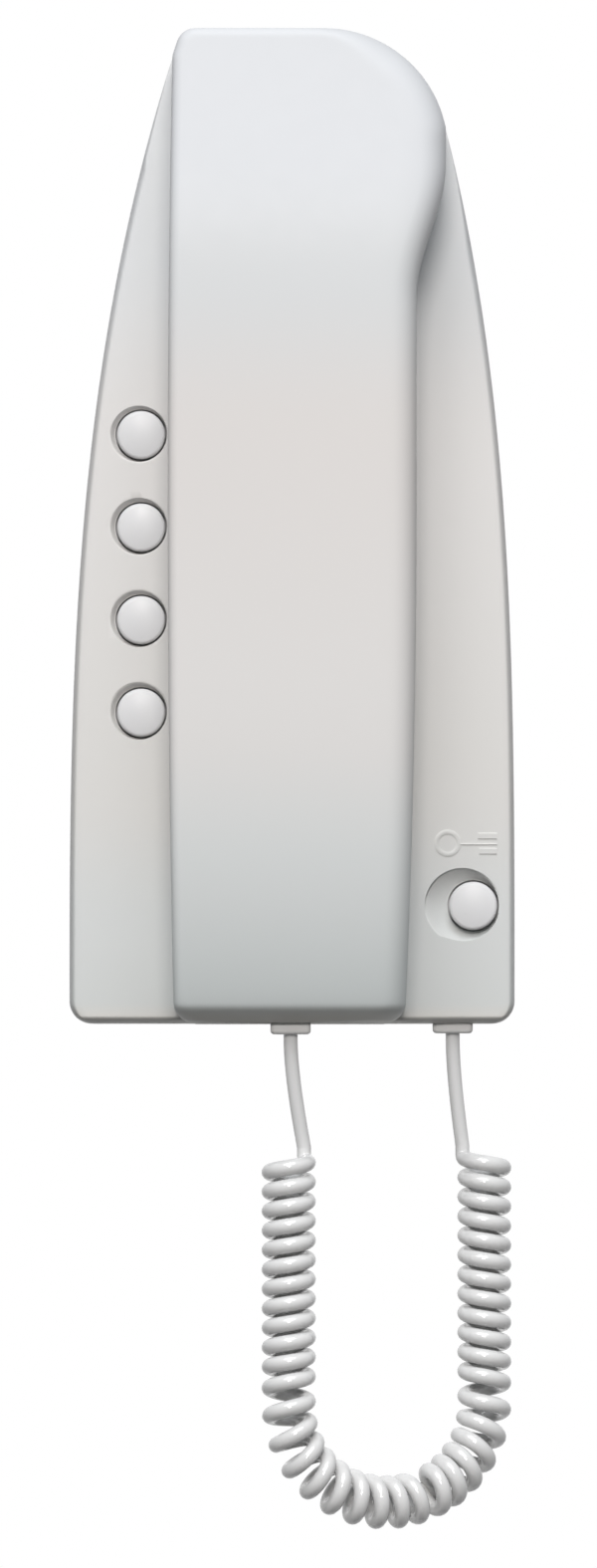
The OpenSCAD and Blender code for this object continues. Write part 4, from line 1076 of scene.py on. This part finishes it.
# The camera, the light and the cord with its plugs
make_camera()
make_light()
cord_look = plastic("cord_jacket", CORD_WHITE, 0.09, specular=0.9, grain=0.1)
cord, cord_path, cord_follows = make_cord()
dress(cord, cord_look)
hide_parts("cord_lead_handset", "cord_curls", "cord_lead_base")
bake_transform(cord)
plug_look = plastic("plug_plastic", PLUG_WHITE, 0.3, specular=0.2)
plugs = {
    "handset": make_plug("handset_cord_plug", *HAND_PLUG, HAND_BOTTOM + HAND_WALL + PLUG_RISE),
    "base": make_plug("base_cord_plug", *BASE_PLUG, WALL + PLUG_RISE),
}
for body, plug in plugs.items():
    dress(plug, plug_look)
    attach(plug, body)
    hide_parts(body + "_plug")

# The casing and the buttons
# Both white plastics carry painted light and shade: tints and darkening by height
shell_look = plastic("handset_plastic", WHITE, 0.4, specular=0.1, painted_light=HAND_PAINTED_LIGHT)
housing_look = plastic("housing_plastic", WHITE, 0.4, specular=0.1, painted_light=BASE_PAINTED_LIGHT)
button_look = plastic("button_plastic", CAP_WHITE, 0.3, specular=0.15)
handset = make_handset()
dress(handset, shell_look)
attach(handset, "handset")
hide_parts("handset_shell")
housing = make_housing()
dress(housing, housing_look)
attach(housing, "base")
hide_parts("front_housing")
sign = make_sign()
dress(sign, housing_look)
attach(sign, "base")
for k, centre in enumerate(CALLS, 1):
    button = make_button("call_cap_%d" % k, centre, CALL_GUIDE)
    dress(button, button_look)
    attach(button, "call_%d" % k)
    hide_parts("call_button_%d" % k)
door = make_button("door_cap", DOOR, DOOR_GUIDE)
dress(door, button_look)
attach(door, "door")
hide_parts("door_button")

# The nodes that stay as the CAD made them get their materials by slot: a colour, how rough
# it is, its specular level and the strength of its grain
looks = {
    "housing_plastic": housing_look,
    "button_plastic": button_look,
    "plate_plastic": plastic("plate_plastic", (0.68, 0.68, 0.67), 0.55, 0.3, 0.5),
    "dark_plastic": plastic("dark_plastic", (0.03, 0.03, 0.033), 0.5, 0.4, 0.5),
    "terminal_plastic": plastic("terminal_plastic", (0.05, 0.26, 0.13), 0.45, 0.4, 0.4),
    "board": plastic("board", (0.03, 0.17, 0.075), 0.35, 0.5, 0.6),
    "soft_rubber": plastic("soft_rubber", (0.04, 0.04, 0.04), 0.8, 0.3, 0.8),
    "steel": metal("steel", (0.6, 0.6, 0.6), 0.32),
    "transducer": metal("transducer", (0.55, 0.55, 0.56), 0.4),
}
for part in frame["record"]["subparts"]:
    node = nodes[part["node"]]
    if not node.hide_render and part["material_slot"] in looks:
        dress(node, looks[part["material_slot"]])
make_floor(plastic("floor_paint", (0.62, 0.62, 0.62), 0.8, 0.1, 0.1))
